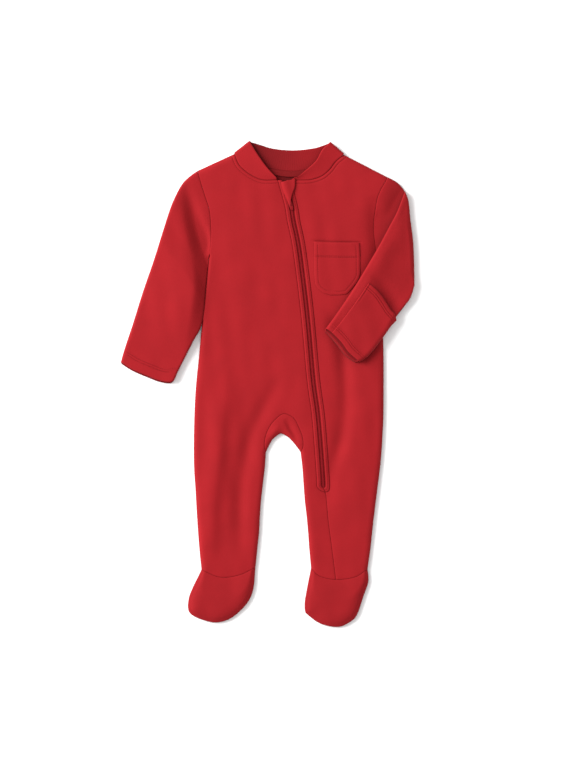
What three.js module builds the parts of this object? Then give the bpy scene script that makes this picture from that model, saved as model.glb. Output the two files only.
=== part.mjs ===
import * as THREE from 'three';

// A footed baby sleepsuit laid flat, front up, one sleeve folded over the chest.
// Millimetres. x runs across (the wearer's right is -x), y from feet to neck, z up from the floor.

const CLOTH = 1.6;
const SEAM = 0.3;
const RIM_LIFT = 0.8;
const ROLL = 15;
const EDGE_TOP = RIM_LIFT + 2 * CLOTH + SEAM;
const FLAT_TOP = 6.2;
const FOOT_TOP = 7;
const UNDERARM = 155;
const CROTCH = -81;
const NECK = 245;

// Outlines, x and y of points along each line.
const ARMHOLE_R = [[-84, 256], [-80, 242], [-74.5, 225], [-70, 210], [-68, 191], [-68, 172], [-70, 155]];
const ARMHOLE_L = [[144, 248.5], [136, 234], [131.5, 222], [129.5, 209], [128, 190], [129, 170], [131, 155]];
const SIDE_R = [
  [-70, 155], [-74, 113], [-78.5, 73], [-82, 34], [-86.5, -9], [-88, -55],
  [-88, -97], [-86, -127], [-84, -167], [-79, -222],
];
const SIDE_L = [
  [131, 155], [134, 119], [138, 73], [139, 34], [139, -31], [138, -62],
  [135, -100], [131.5, -129], [127, -163], [120, -221],
];
const NECK_POINT_R = [-39.5, 276.5];
const NECK_POINT_L = [92, 275.5];
const ARM_TOP_R = ARMHOLE_R[0];
const ARM_TOP_L = ARMHOLE_L[0];
const UNDERARM_R = SIDE_R[0];
const UNDERARM_L = SIDE_L[0];
const NECK_SEAM_R = [NECK_POINT_R, [-34.5, 264], [-25.5, 255], [-14.5, 248], [-4, 245], [11.7, NECK]];
const NECK_SEAM_L = [[28.5, NECK], [46, 245], [55, 246], [66, 250.5], [75, 258], [82, 267], NECK_POINT_L];
const NECK_SEAM_BACK = [NECK_POINT_R, [-15, 262], [15, 256], [28, 255], [43, 256], [69, 262], NECK_POINT_L];
const BAND_EDGE_R = [[-21, 291], [-11.5, 275.5], [-0.5, 260.5], [11.5, 248.5]];
const BAND_EDGE_L = [[75, 290], [66, 282], [58, 268], [46, 257], [34, 248.7]];
const BAND_EDGE_BACK = [[-21, 291], [2.5, 283], [16, 280.5], [31.5, 279.5], [47, 281], [75, 290]];
const INNER_R = [[-2, -81], [-5.5, -119], [-9, -158], [-12, -196], [-14.5, -220]];
const INNER_L = [[39.5, -81], [43, -119], [47, -158], [50, -196], [52, -220]];
const CROTCH_EDGE = [[-2, -81], [4.5, -68], [10.5, -62], [15.5, -59], [20, -60], [32.5, -71.5], [39.5, -81]];
const GUSSET_SEAM = [
  [-3.5, -72.5], [-1.5, -60.5], [4.5, -47.5], [15, -37], [22, -35.5],
  [31.5, -40.5], [37, -49.5], [41.5, -60.5], [43, -69],
];
const GUSSET_EDGE = [
  [0.3, -76], [4.5, -68], [10.5, -62], [15.5, -59], [20, -60], [26, -64.5], [32.5, -71.5], [36.5, -76.5],
];
const FRONT_INNER_R = [GUSSET_SEAM[0], [-2.2, -81], ...INNER_R.slice(1)];
const FRONT_INNER_L = [GUSSET_SEAM.at(-1), [39.8, -81], ...INNER_L.slice(1)];
const ANKLE_R = [[-79, -222], [-57, -231], [-34, -228.5], [-14.5, -220]];
const ANKLE_L = [[52, -220], [63, -229.5], [83, -234], [106, -230.5], [120, -221]];
const [INNER_ANKLE_L, OUTER_ANKLE_L] = [ANKLE_L[0], ANKLE_L.at(-1)];
const ZIP_LINE = [
  [19.7, 246], [28, 215.5], [31.5, 195.5], [37.5, 166], [44.5, 115], [49, 71.5], [55, 5.5],
  [60.5, -34.5], [64, -74], [67, -121], [70, -133], [73, -164], [77, -194], [82, -236],
];

// The feet, from the ankle round the outer side, the toe and the inner side.
const FOOT_R = {
  left: [[-79, -222], [-91, -246], [-95, -259], [-93, -273]],
  toe: [[-93, -273], [-83.5, -280], [-64.5, -285.5], [-47.5, -282], [-34, -272.5]],
  right: [[-14.5, -220], [-16.5, -244], [-22, -259], [-34, -272.5]],
};
const FOOT_L = {
  left: [[52, -220], [47.5, -244], [44.5, -261], [48, -276.5]],
  toe: [[48, -276.5], [64, -287], [84.5, -291], [100, -284], [108, -275.5]],
  right: [[120, -221], [121, -236.5], [115.5, -254], [108, -275.5]],
};

// The sleeve by the body's side, and its end.
const SLEEVE_R = {
  over: [[-84, 256], [-95.5, 248], [-104, 238], [-114.5, 217], [-136, 149.5], [-161.5, 73], [-176, 27]],
  under: [[-70, 155], [-74.5, 113], [-79.5, 73], [-89.5, 51], [-99, 32], [-107.5, 15], [-111.5, 5.5]],
  cuff: [[-176, 27], [-161.5, 18], [-143.5, 10], [-129, 5], [-117, 3], [-111.5, 5.5]],
};

// The folded sleeve: out to the fold, then back over the chest to its end.
const SLEEVE_L = {
  fold: [[166, 232.5], [169, 220], [171.5, 197], [174.5, 174], [176, 149.5], [176.3, 118]],
  upperArmOver: [[144, 248.5], [150, 247], [157, 240.5]],
  upperArmUnder: [[131, 155], [150, 141]],
  forearmOver: [[155.5, 207], [134, 166.5], [116, 136], [101, 112], [82, 84], [70, 67]],
  forearmUnder: [[170, 103], [154, 81], [139.5, 60], [124, 40], [109, 28]],
  cuff: [[70, 67], [77, 62.5], [88, 51], [97.5, 38.5], [109, 28]],
};
// The mitten flap in shares of its sleeve: across at its seam, along at its opening.
const MITTEN = {
  seamAtOpening: 0.2, seamAtCuff: 0.16, openingAtSeam: 0.57, openingAtEdge: 0.39, liftFrom: 0.28,
};
const MITTEN_LIFT = CLOTH + SEAM;
const FOLD_RADIUS = 2.3;
const FOLD_TALL = 4;

// How high the forearm rests: share of the way from fold to cuff, underside at its
// upper and lower edge, height of the flattened tube.
const FOREARM_REST = [
  { at: 0, upper: 4.6, lower: 4.6, tall: 4 },
  { at: 0.2, upper: 6.6, lower: 4.6, tall: 4.4 },
  { at: 0.35, upper: 8, lower: 4.6, tall: 4.8 },
  { at: 0.55, upper: 9.5, lower: 5.2, tall: 5 },
  { at: 0.75, upper: 9.3, lower: 6.8, tall: 5.2 },
  { at: 1, upper: 7.8, lower: 7.6, tall: 5.6 },
];

// Soft ridges and troughs of the front: ends, half width and height.
const FOLDS = [
  { from: [-9, -30], to: [-37, -115], wide: 9, high: -1.2 },
  { from: [-37, -115], to: [-44, -163], wide: 8, high: -0.8 },
  { from: [-64, -55], to: [-60, -195], wide: 14, high: 0.6 },
  { from: [-10, -38], to: [-18, -72], wide: 6, high: 0.6 },
  { from: [97, 26], to: [87, -19], wide: 9, high: -0.9 },
  { from: [87, -19], to: [86, -103], wide: 9, high: -0.9 },
  { from: [109, -75], to: [105, -205], wide: 10, high: 0.6 },
  { from: [24, -46], to: [33, -62], wide: 4, high: -0.6 },
  { from: [-92, 212], to: [-82, 100], wide: 10, high: -1.2 },
];
const SEAM_DIP = { wide: 3, high: -0.7 };

// The zip: half width of its channel, width of the strips beside it, where it ends.
const ZIP = { channel: 2.7, strip: 5.2, end: -121 };
const BINDING_LIFT = 0.4;
// What lies along the zip: half width, top against the front's top, thickness, ends.
const ZIP_TAPE = { half: 6.6, lift: -2.3, thick: 0.7, from: NECK - 2, to: ZIP.end - 5 };
const ZIP_COIL = { half: 2.2, lift: -0.6, thick: 0.75, crown: 0.6, from: NECK - 4, to: ZIP.end };
const ZIP_SLIDER = { half: 2.4, lift: 1.5, thick: 1.8, from: 219, to: 208 };
const ZIP_PULL = { half: 1.8, lift: 2.9, thick: 1, from: 233, to: 214 };
const ZIP_GARAGE = { lift: 2.2, crown: 2.3, thick: 1.2, crownHalf: 6, fromTop: 8 };
const NECK_TAPE = { wide: 6, thick: 1, from: 0.18, to: 0.82 };
const ZIP_REACH = ZIP.channel + ZIP.strip;
// The rounded lower end: distance below the end and share of the half width left there.
const ZIP_END_SHAPE = [[0, 1], [4, 0.86], [6.5, 0.57], [7.6, 0.27], [8.1, 0]];

const GARAGE = {
  left: [[15.8, 242.5], [18, 232.5], [23.5, 220.5], [26, 214]],
  right: [[33.7, 247], [33, 237], [29.5, 227], [27, 213.5]],
};
const POCKET = {
  top: [[56, 171], [110.5, 170]],
  left: [[56, 171], [56.5, 128], [60, 116]],
  bottom: [[60, 116], [66.5, 110], [76, 107], [91, 107.5], [98, 111], [104, 117]],
  right: [[110.5, 170], [111, 143], [110, 127], [104, 117]],
};

const LEG_COLUMNS = [0, 0.06, 0.18, 0.4, 0.62, 0.82, 0.94, 1];
const STRIP_COLUMNS = [0, 0.3, 0.65, 1];
const LEFT_COLUMNS = [0, 0.1, 0.2, 0.3, 0.41, 0.52, 0.65, 0.8, 0.93, 1];
const LEFT_CORNER = 6;
const RIGHT_CORNER = 5;
const BACK_CORNER = 5;
const ARC_STEPS = 9;
const BELLY_STEPS = 10;
const LEG_STEPS = 7;
const CHEST_ROWS = [0, 0.04, 0.12, 0.24, 0.37, 0.5, 0.63, 0.76, 0.88, 1];

const RED = 0xb0262b;
const DARK_RED = 0x8c1c22;
const ZIP_RED = 0x9c2228;

const steps = (count) => Array.from({ length: count + 1 }, (_, i) => i / count);
const mix = (a, b, t) => a + (b - a) * t;
const between = (p, q, t) => new THREE.Vector2(mix(p.x, q.x, t), mix(p.y, q.y, t));
const at = ([x, y]) => new THREE.Vector2(x, y);
const lineOf = (points) => new THREE.SplineCurve(points.map(at));
const spread = (points, shares) => {
  const line = lineOf(points);
  return shares.map((share) => line.getPointAt(share));
};
const moved = (points, dx, dy) => points.map(([x, y]) => [x + dx, y + dy]);
const straight = (p, q, shares) => shares.map((share) => between(p, q, share));

// The x of a line that runs steadily down in y.
function xOn(points) {
  const fine = lineOf(points).getPoints(240);
  return (y) => {
    const i = Math.max(1, fine.findIndex((p) => p.y <= y));
    const [p, q] = [fine[i - 1], fine[i]];
    return mix(p.x, q.x, (y - p.y) / (q.y - p.y));
  };
}

// The y of a line that runs steadily across in x.
function yOn(points) {
  const fine = lineOf(points).getPoints(120);
  return (x) => {
    const found = fine.findIndex((p) => p.x >= x);
    const i = found < 1 ? (found === 0 ? 1 : fine.length - 1) : found;
    const [p, q] = [fine[i - 1], fine[i]];
    return mix(p.y, q.y, (x - p.x) / (q.x - p.x));
  };
}

const zipX = xOn(ZIP_LINE);
const sideXR = xOn(SIDE_R);
const sideXL = xOn(SIDE_L);
const ankleYL = yOn(ANKLE_L);
const SEAM_FOOT = zipX(ANKLE_L[2][1]);
const SEAM_SHARE = (SEAM_FOOT - INNER_ANKLE_L[0]) / (OUTER_ANKLE_L[0] - INNER_ANKLE_L[0]);
const LEFT_LEG_COLUMNS = [
  ...STRIP_COLUMNS.map((share) => share * SEAM_SHARE),
  ...LEFT_COLUMNS.slice(1).map((share) => mix(SEAM_SHARE, 1, share)),
];
const ankleL = (from, to, shares) => (
  shares.map((share) => mix(from, to, share)).map((x) => at([x, ankleYL(x)])));
const ANKLE_POINTS_R = spread(ANKLE_R, LEG_COLUMNS);
const ANKLE_POINTS_L = ankleL(INNER_ANKLE_L[0], OUTER_ANKLE_L[0], LEFT_LEG_COLUMNS);

// A value read from a table of rows by its first column.
function tableValue(rows, key, column, where) {
  const i = Math.max(1, rows.findIndex((row) => row[key] >= where));
  const [a, b] = [rows[i - 1], rows[i]];
  return mix(a[column], b[column], (where - a[key]) / (b[key] - a[key]));
}

function distanceToLine(points, x, y) {
  let best = Infinity;
  for (let i = 1; i < points.length; i += 1) {
    const [p, q] = [points[i - 1], points[i]];
    const [dx, dy] = [q.x - p.x, q.y - p.y];
    const share = ((x - p.x) * dx + (y - p.y) * dy) / (dx * dx + dy * dy);
    const t = Math.min(1, Math.max(0, share));
    best = Math.min(best, Math.hypot(x - p.x - dx * t, y - p.y - dy * t));
  }
  return best;
}

const fineLine = (points) => lineOf(points).getPoints(8 * points.length);
const BODY_EDGES = [
  [NECK_POINT_R, ARM_TOP_R], [NECK_POINT_L, ARM_TOP_L],
  SIDE_R, SIDE_L, INNER_R, INNER_L, CROTCH_EDGE,
].map(fineLine);
const SEAM_LINE = fineLine(GUSSET_SEAM);
const ARMHOLE_GAP = 1.6 * SEAM;

// How far the cloth has rolled up from its edges: 0 at an edge, 1 from ROLL inwards.
function riseFrom(edges, x, y) {
  const nearest = Math.min(...edges.map((edge) => distanceToLine(edge, x, y)));
  return Math.sin((Math.PI / 2) * Math.min(1, nearest / ROLL));
}

function foldHeight(x, y) {
  return FOLDS.reduce((sum, { from, to, wide, high }) => {
    const away = distanceToLine([at(from), at(to)], x, y) / wide;
    return sum + high * Math.exp(-away * away);
  }, 0);
}

function seamDip(x, y) {
  const away = distanceToLine(SEAM_LINE, x, y) / SEAM_DIP.wide;
  return SEAM_DIP.high * Math.exp(-away * away);
}

function frontTop(x, y) {
  const rise = riseFrom(BODY_EDGES, x, y);
  return EDGE_TOP + (FLAT_TOP - EDGE_TOP + foldHeight(x, y) + seamDip(x, y)) * rise;
}

function backTop(x, y) {
  return CLOTH + RIM_LIFT * (1 - riseFrom(BODY_EDGES, x, y));
}

// A grid of plan points inside four sides. Rows run from top to bottom.
function patch(top, bottom, left, right) {
  const far = top.length - 1;
  const low = left.length - 1;
  const length = (line, n) => line.slice(1, n + 1).reduce((sum, p, i) => sum + p.distanceTo(line[i]), 0);
  const across = top.map((_, j) => length(top, j) / length(top, far));
  const down = left.map((_, i) => length(left, i) / length(left, low));
  return left.map((_, i) => top.map((__, j) => {
    const [u, v] = [across[j], down[i]];
    const ends = between(between(top[0], top[far], u), between(bottom[0], bottom[far], u), v);
    return between(top[j], bottom[j], v).add(between(left[i], right[i], u)).sub(ends);
  }));
}

// The two faces of a layer of cloth over a plan grid, given the height of its upper face.
function layer(rows, topAt, thick = CLOTH) {
  const step = 0.5;
  const lower = (x, y) => {
    const dx = (topAt(x + step, y) - topAt(x - step, y)) / (2 * step);
    const dy = (topAt(x, y + step) - topAt(x, y - step)) / (2 * step);
    return topAt(x, y) - thick * Math.min(1.4, Math.hypot(1, dx, dy));
  };
  return {
    outer: rows.map((row) => row.map(({ x, y }) => new THREE.Vector3(x, y, topAt(x, y)))),
    inner: rows.map((row) => row.map(({ x, y }) => new THREE.Vector3(x, y, lower(x, y)))),
  };
}

// One closed body from grids with an outer and an inner face; open borders get side walls.
function closedBody(grids) {
  const places = [];
  const found = new Map();
  const numberOf = (p) => {
    const key = [p.x, p.y, p.z].map((value) => Math.round(value * 1000)).join();
    if (!found.has(key)) {
      found.set(key, places.length / 3);
      places.push(p.x, p.y, p.z);
    }
    return found.get(key);
  };
  const faces = [];
  const addFace = (a, b, c) => {
    if (a !== b && b !== c && a !== c) faces.push(a, b, c);
  };
  const borders = new Map();
  const crossEdge = (p, q) => {
    const back = `${q.up}:${p.up}`;
    if (borders.has(back)) borders.delete(back);
    else if (p.up !== q.up) borders.set(`${p.up}:${q.up}`, [p, q]);
  };
  for (const { outer, inner } of grids) {
    const ids = outer.map((row, i) => row.map((p, j) => ({ up: numberOf(p), down: numberOf(inner[i][j]) })));
    for (let i = 1; i < ids.length; i += 1) {
      for (let j = 1; j < ids[i].length; j += 1) {
        const [a, b, c, d] = [ids[i - 1][j - 1], ids[i][j - 1], ids[i][j], ids[i - 1][j]];
        for (const [p, q, r] of [[a, b, c], [a, c, d]]) {
          addFace(p.up, q.up, r.up);
          addFace(p.down, r.down, q.down);
          crossEdge(p, q);
          crossEdge(q, r);
          crossEdge(r, p);
        }
      }
    }
  }
  for (const [p, q] of borders.values()) {
    addFace(q.up, p.up, p.down);
    addFace(q.up, p.down, q.down);
  }
  const geometry = new THREE.BufferGeometry();
  geometry.setAttribute('position', new THREE.Float32BufferAttribute(places, 3));
  geometry.setIndex(volumeOf(places, faces) > 0 ? faces : faces.toReversed());
  geometry.computeVertexNormals();
  return geometry;
}

function volumeOf(places, faces) {
  const corner = (i) => new THREE.Vector3().fromArray(places, 3 * faces[i]);
  let sum = 0;
  for (let i = 0; i < faces.length; i += 3) {
    sum += corner(i).dot(corner(i + 1).cross(corner(i + 2)));
  }
  return sum / 6;
}

function piece(name, grids, color = RED, roughness = 0.9) {
  const material = new THREE.MeshStandardMaterial({ color, roughness });
  material.name = name;
  const mesh = new THREE.Mesh(closedBody(grids), material);
  mesh.name = name;
  return mesh;
}

// Half width of the zip's strips at a height, round its lower end, plus a margin.
function zipHalf(y, half, margin = 0) {
  const below = ZIP.end - y;
  if (below <= 0) return half + margin;
  const last = ZIP_END_SHAPE.at(-1)[0];
  if (below >= last) return SEAM / 2;
  const share = tableValue(ZIP_END_SHAPE, 0, 1, below);
  return Math.max(SEAM / 2, half * share + margin);
}

const ZIP_END_ROWS = ZIP_END_SHAPE.map(([drop]) => ZIP.end - drop);
const panelEdge = (side) => (y) => at([zipX(y) + side * zipHalf(y, ZIP_REACH, SEAM), y]);

// Rows down a panel's zip edge: even steps, with the rounded end's own heights put in.
function zipRows(from, to, step) {
  const count = Math.round((from - to) / step);
  const even = steps(count).map((share) => mix(from, to, share));
  const apart = even.filter((y) => ZIP_END_ROWS.every((end) => Math.abs(end - y) > step / 3));
  const inside = ZIP_END_ROWS.filter((y) => y < from && y > to);
  return [...new Set([from, ...apart, ...inside, to])].sort((a, b) => b - a);
}

// Part of a list of shares, from one corner to another, stretched to run from 0 to 1.
function sharesOver(shares, first, last = shares.length - 1) {
  const part = shares.slice(first, last + 1);
  return part.map((share) => (share - part[0]) / (part.at(-1) - part[0]));
}

// The row of points at the crotch, its shares of the width, and where its parts begin.
function crotchRow(parts) {
  const points = parts.flatMap((part, i) => (i === 0 ? part : part.slice(1)));
  const shareOfWidth = (p) => (p.x - points[0].x) / (points.at(-1).x - points[0].x);
  const shares = parts.flatMap((part, i) => {
    const ends = [part[0], part.at(-1)].map(shareOfWidth);
    const kept = i === 0 ? part : part.slice(1);
    const first = part.length - kept.length;
    return kept.map((p, j) => (i === 1 ? mix(...ends, (j + first) / (part.length - 1)) : shareOfWidth(p)));
  });
  return { points, shares };
}

// The three parts of a torso's lowest row: right leg, arc between the legs, left leg.
function crotchParts(panel) {
  const isFront = panel === 'front';
  const arc = spread(isFront ? GUSSET_SEAM : CROTCH_EDGE, steps(ARC_STEPS));
  const rightLeg = straight(at([sideXR(CROTCH), CROTCH]), arc[0], LEG_COLUMNS);
  const end = isFront ? panelEdge(-1)(CROTCH) : at([sideXL(CROTCH), CROTCH]);
  const leftLeg = straight(arc.at(-1), end, isFront ? STRIP_COLUMNS : LEFT_LEG_COLUMNS);
  return [rightLeg, arc, leftLeg];
}

const crotchShares = (panel) => crotchRow(crotchParts(panel)).shares;

function frontRight() {
  const edge = panelEdge(-1);
  const [legTop, arc, stripTop] = crotchParts('front');
  const { points, shares } = crotchRow([legTop, arc, stripTop]);
  const chestRow = straight(at(UNDERARM_R), edge(UNDERARM), shares);
  const top = [
    ...straight(at(ARM_TOP_R), at(NECK_POINT_R), sharesOver(shares, 0, RIGHT_CORNER)),
    ...spread(NECK_SEAM_R, sharesOver(shares, RIGHT_CORNER)).slice(1),
  ];
  const chestEdge = CHEST_ROWS.map((share) => edge(mix(NECK, UNDERARM, share)));
  const chest = patch(top, chestRow, spread(ARMHOLE_R, CHEST_ROWS), chestEdge);
  const heights = steps(BELLY_STEPS).map((share) => mix(UNDERARM, CROTCH, share));
  const sides = heights.map((y) => at([sideXR(y), y]));
  const belly = patch(chestRow, points, sides, heights.map(edge));

  const legRows = steps(LEG_STEPS);
  const sideLeg = legRows.map((share) => mix(CROTCH, ANKLE_R[0][1], share)).map((y) => at([sideXR(y), y]));
  const leg = patch(legTop, ANKLE_POINTS_R, sideLeg, spread(FRONT_INNER_R, legRows));

  const seamFoot = SEAM_FOOT - SEAM / 2;
  const ends = zipRows(CROTCH, ankleYL(seamFoot), 16);
  const shareOf = (y) => (y - CROTCH) / (ends.at(-1) - CROTCH);
  const ankle = ankleL(INNER_ANKLE_L[0], seamFoot, STRIP_COLUMNS);
  const strip = patch(
    stripTop,
    ankle,
    spread(FRONT_INNER_L, ends.map(shareOf)),
    ends.map(edge).with(-1, ankle.at(-1)),
  );
  return piece('front_right', [chest, belly, leg, strip].map((rows) => layer(rows, frontTop)));
}

function frontLeft() {
  const edge = panelEdge(1);
  const row = straight(edge(UNDERARM), at(UNDERARM_L), LEFT_COLUMNS);
  const top = [
    ...spread(NECK_SEAM_L, sharesOver(LEFT_COLUMNS, 0, LEFT_CORNER)),
    ...straight(at(NECK_POINT_L), at(ARM_TOP_L), sharesOver(LEFT_COLUMNS, LEFT_CORNER)).slice(1),
  ];
  const chestEdge = CHEST_ROWS.map((share) => edge(mix(NECK, UNDERARM, share)));
  const chest = patch(top, row, chestEdge.with(0, top[0]), spread(ARMHOLE_L, CHEST_ROWS));

  const seamFoot = SEAM_FOOT + SEAM / 2;
  const heights = zipRows(UNDERARM, ankleYL(seamFoot), 18);
  const drop = (y) => mix(UNDERARM, OUTER_ANKLE_L[1], (y - UNDERARM) / (heights.at(-1) - UNDERARM));
  const side = heights.map(drop).map((y) => at([sideXL(y), y]));
  const ankle = ankleL(seamFoot, OUTER_ANKLE_L[0], LEFT_COLUMNS);
  const zipSide = heights.map(edge).with(-1, ankle[0]);
  const rest = patch(row, ankle.with(-1, side.at(-1)), zipSide, side);
  return piece('front_left', [layer(chest, frontTop), layer(rest, frontTop)]);
}

const backNeckShares = (shares) => sharesOver(shares, BACK_CORNER, shares.length - 1 - BACK_CORNER);

function back() {
  const [legTopR, arc, legTopL] = crotchParts('back');
  const { points, shares } = crotchRow([legTopR, arc, legTopL]);
  const chestRow = straight(at(UNDERARM_R), at(UNDERARM_L), shares);
  const top = [
    ...straight(at(ARM_TOP_R), at(NECK_POINT_R), sharesOver(shares, 0, BACK_CORNER)),
    ...spread(NECK_SEAM_BACK, backNeckShares(shares)).slice(1, -1),
    ...straight(at(NECK_POINT_L), at(ARM_TOP_L), sharesOver(shares, shares.length - 1 - BACK_CORNER)),
  ];
  const chest = patch(top, chestRow, spread(ARMHOLE_R, CHEST_ROWS), spread(ARMHOLE_L, CHEST_ROWS));
  const heights = steps(BELLY_STEPS).map((share) => mix(UNDERARM, CROTCH, share));
  const sides = [sideXR, sideXL].map((side) => heights.map((y) => at([side(y), y])));
  const belly = patch(chestRow, points, ...sides);
  const legRows = steps(LEG_STEPS);
  const outer = (side, low) => legRows.map((share) => mix(CROTCH, low, share)).map((y) => at([side(y), y]));
  const legs = [
    patch(legTopR, ANKLE_POINTS_R, outer(sideXR, ANKLE_R[0][1]), spread(INNER_R, legRows)),
    patch(legTopL, ANKLE_POINTS_L, spread(INNER_L, legRows), outer(sideXL, OUTER_ANKLE_L[1])),
  ];
  return piece('back', [chest, belly, ...legs].map((rows) => layer(rows, backTop)));
}

// The piece between the legs: from the seam arc down to the crotch's edge.
function gusset() {
  const [seam, crotch] = [GUSSET_SEAM, GUSSET_EDGE].map((line) => spread(line, steps(ARC_STEPS)));
  const rows = [0, 0.3, 0.55, 0.8, 1].map((down) => seam.map((p, i) => {
    const first = SEAM * 1.4 / p.distanceTo(crotch[i]);
    return between(p, crotch[i], mix(first, 1, down));
  }));
  return piece('gusset', [layer(rows, frontTop)]);
}

// A foot's plan: a grid from the ankle seam to the toe.
function footRows(ankle, { left, toe, right }) {
  const top = ankle.map((p) => at([p.x, p.y - 1.2 * SEAM]));
  const shares = sharesOver(top.map((p) => p.x), 0);
  const down = [0, 0.15, 0.35, 0.6, 0.8, 0.93, 1];
  const start = (line) => [[line[0][0], line[0][1] - 1.2 * SEAM], ...line.slice(1)];
  return patch(
    top,
    spread(toe, shares),
    spread(start(left), down),
    spread(start(right), down),
  );
}

function foot(side, ankle, outline) {
  const edges = [outline.left, outline.toe, outline.right].map(fineLine);
  const rows = footRows(ankle, outline);
  const ankleY = ankle[0].y;
  const upper = (x, y) => {
    const flat = mix(FLAT_TOP, FOOT_TOP, Math.min(1, Math.max(0, (ankleY - y) / 25)));
    return EDGE_TOP + (flat - EDGE_TOP) * riseFrom(edges, x, y);
  };
  const sole = (x, y) => CLOTH + RIM_LIFT * (1 - riseFrom(edges, x, y));
  return [
    piece(`foot_${side}_upper`, [layer(rows, upper)]),
    piece(`foot_${side}_sole`, [layer(rows, sole)]),
  ];
}

// One ring of a flattened tube as distance from its over edge and height off its middle.
function ringPoints(width, tall, grow, flats = 7, bends = 4) {
  const radius = tall / 2;
  const reach = radius + grow;
  const flat = steps(flats).map((share) => mix(radius, width - radius, share));
  const turn = steps(bends).slice(1, -1).map((share) => Math.PI * share);
  const far = turn.map((a) => [width - radius + reach * Math.sin(a), reach * Math.cos(a)]);
  const near = turn.map((a) => [radius - reach * Math.sin(a), -reach * Math.cos(a)]);
  const upper = flat.map((d) => [d, reach]);
  const lower = flat.toReversed().map((d) => [d, -reach]);
  return [...upper, ...far, ...lower, ...near, upper[0]];
}

// A tube of cloth from stations that can place a share across and a height off the middle.
function tubeGrid(stations) {
  const face = (grow) => stations.map(({ width, tall, place }) => (
    ringPoints(width, tall, grow).map(([d, h]) => place(d / width, h))
  ));
  return { outer: face(0), inner: face(-CLOTH) };
}

// A patch's plan point at any share across and down, from lines sampled as needed.
function planOf(top, bottom, left, right) {
  const [t, b, l, r] = [top, bottom, left, right].map(lineOf);
  return (u, v) => {
    const [s, rest] = [Math.min(1, Math.max(0, u)), u - Math.min(1, Math.max(0, u))];
    const ends = between(
      between(t.getPoint(0), t.getPoint(1), s), between(b.getPoint(0), b.getPoint(1), s), v);
    const inside = between(t.getPointAt(s), b.getPointAt(s), v);
    const across = r.getPointAt(v).sub(l.getPointAt(v));
    return inside.add(l.getPointAt(v).addScaledVector(across, s)).sub(ends).addScaledVector(across, rest);
  };
}

const widthAt = (plan, v) => plan(0, v).distanceTo(plan(1, v));

// The sleeve by the side: lifted at its end by the mitten flap beneath.

function sleeveRightStation(v) {
  const armhole = moved(ARMHOLE_R, -ARMHOLE_GAP, 0);
  const under = moved(SLEEVE_R.under, -ARMHOLE_GAP, 0);
  const plan = planOf(armhole, SLEEVE_R.cuff, [armhole[0], ...SLEEVE_R.over.slice(1)],
    [...under.slice(0, -1), SLEEVE_R.cuff.at(-1)]);
  const lift = MITTEN_LIFT * Math.min(1, Math.max(0, (v - MITTEN.liftFrom) / 0.1));
  const middle = FLAT_TOP / 2 + lift;
  const place = (s, h) => {
    const { x, y } = plan(s, v);
    const fold = h > 0 ? foldHeight(x, y) * Math.min(1, h / (FLAT_TOP / 2 - CLOTH)) : 0;
    return new THREE.Vector3(x, y, middle + h + fold);
  };
  return { width: widthAt(plan, v), tall: FLAT_TOP, place };
}

function sleeveRight() {
  return piece('sleeve_right', [tubeGrid(steps(12).map(sleeveRightStation))]);
}

// The fold line moved in from the outline to the middle of the turn.
function foldCentre() {
  const line = lineOf(SLEEVE_L.fold);
  return steps(10).map((share) => {
    const along = line.getTangentAt(share);
    const out = at([-along.y, along.x]);
    const inward = line.getPointAt(share).addScaledVector(out, -FOLD_RADIUS - FOLD_TALL / 2);
    return { point: [inward.x, inward.y], out };
  });
}

function upperArmStation(centre, v) {
  const armhole = moved(ARMHOLE_L, ARMHOLE_GAP, 0);
  const fold = centre.map(({ point }) => point);
  const plan = planOf(armhole, fold, [armhole[0], ...SLEEVE_L.upperArmOver.slice(1), fold[0]],
    [armhole.at(-1), ...SLEEVE_L.upperArmUnder.slice(1), fold.at(-1)]);
  const tall = mix(FLAT_TOP, FOLD_TALL, v);
  const place = (s, h) => {
    const { x, y } = plan(s, v);
    return new THREE.Vector3(x, y, tall / 2 + h);
  };
  return { width: widthAt(plan, v), tall, place };
}

function turnStation(centre, angle) {
  const line = lineOf(centre.map(({ point }) => point));
  const low = FOLD_TALL / 2 + FOLD_RADIUS;
  const place = (s, h) => {
    const share = Math.min(1, Math.max(0, s));
    const { x, y } = line.getPointAt(share);
    const { out } = centre[Math.round(share * (centre.length - 1))];
    const reach = (FOLD_RADIUS - h) * Math.sin(angle);
    return new THREE.Vector3(x + out.x * reach, y + out.y * reach, low - (FOLD_RADIUS - h) * Math.cos(angle));
  };
  return { width: line.getLength(), tall: FOLD_TALL, place };
}

function forearmPlan(centre) {
  const fold = centre.map(({ point }) => point);
  const over = [fold[0], ...SLEEVE_L.forearmOver];
  const under = [fold.at(-1), ...SLEEVE_L.forearmUnder];
  return planOf(fold, SLEEVE_L.cuff, over, under);
}

function forearmStation(plan, v) {
  const rest = (name) => tableValue(FOREARM_REST, 'at', name, v);
  const [upper, lower, tall] = [rest('upper'), rest('lower'), rest('tall')];
  const place = (s, h) => {
    const { x, y } = plan(s, v);
    return new THREE.Vector3(x, y, mix(upper, lower, s) + tall / 2 - h);
  };
  return { width: widthAt(plan, v), tall, place };
}

function sleeveLeft() {
  const centre = foldCentre();
  const plan = forearmPlan(centre);
  const stations = [
    ...steps(5).map((v) => upperArmStation(centre, v)),
    ...steps(6).slice(1, -1).map((share) => turnStation(centre, Math.PI * share)),
    ...steps(11).map((v) => forearmStation(plan, v)),
  ];
  return piece('sleeve_left', [tubeGrid(stations)]);
}

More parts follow.
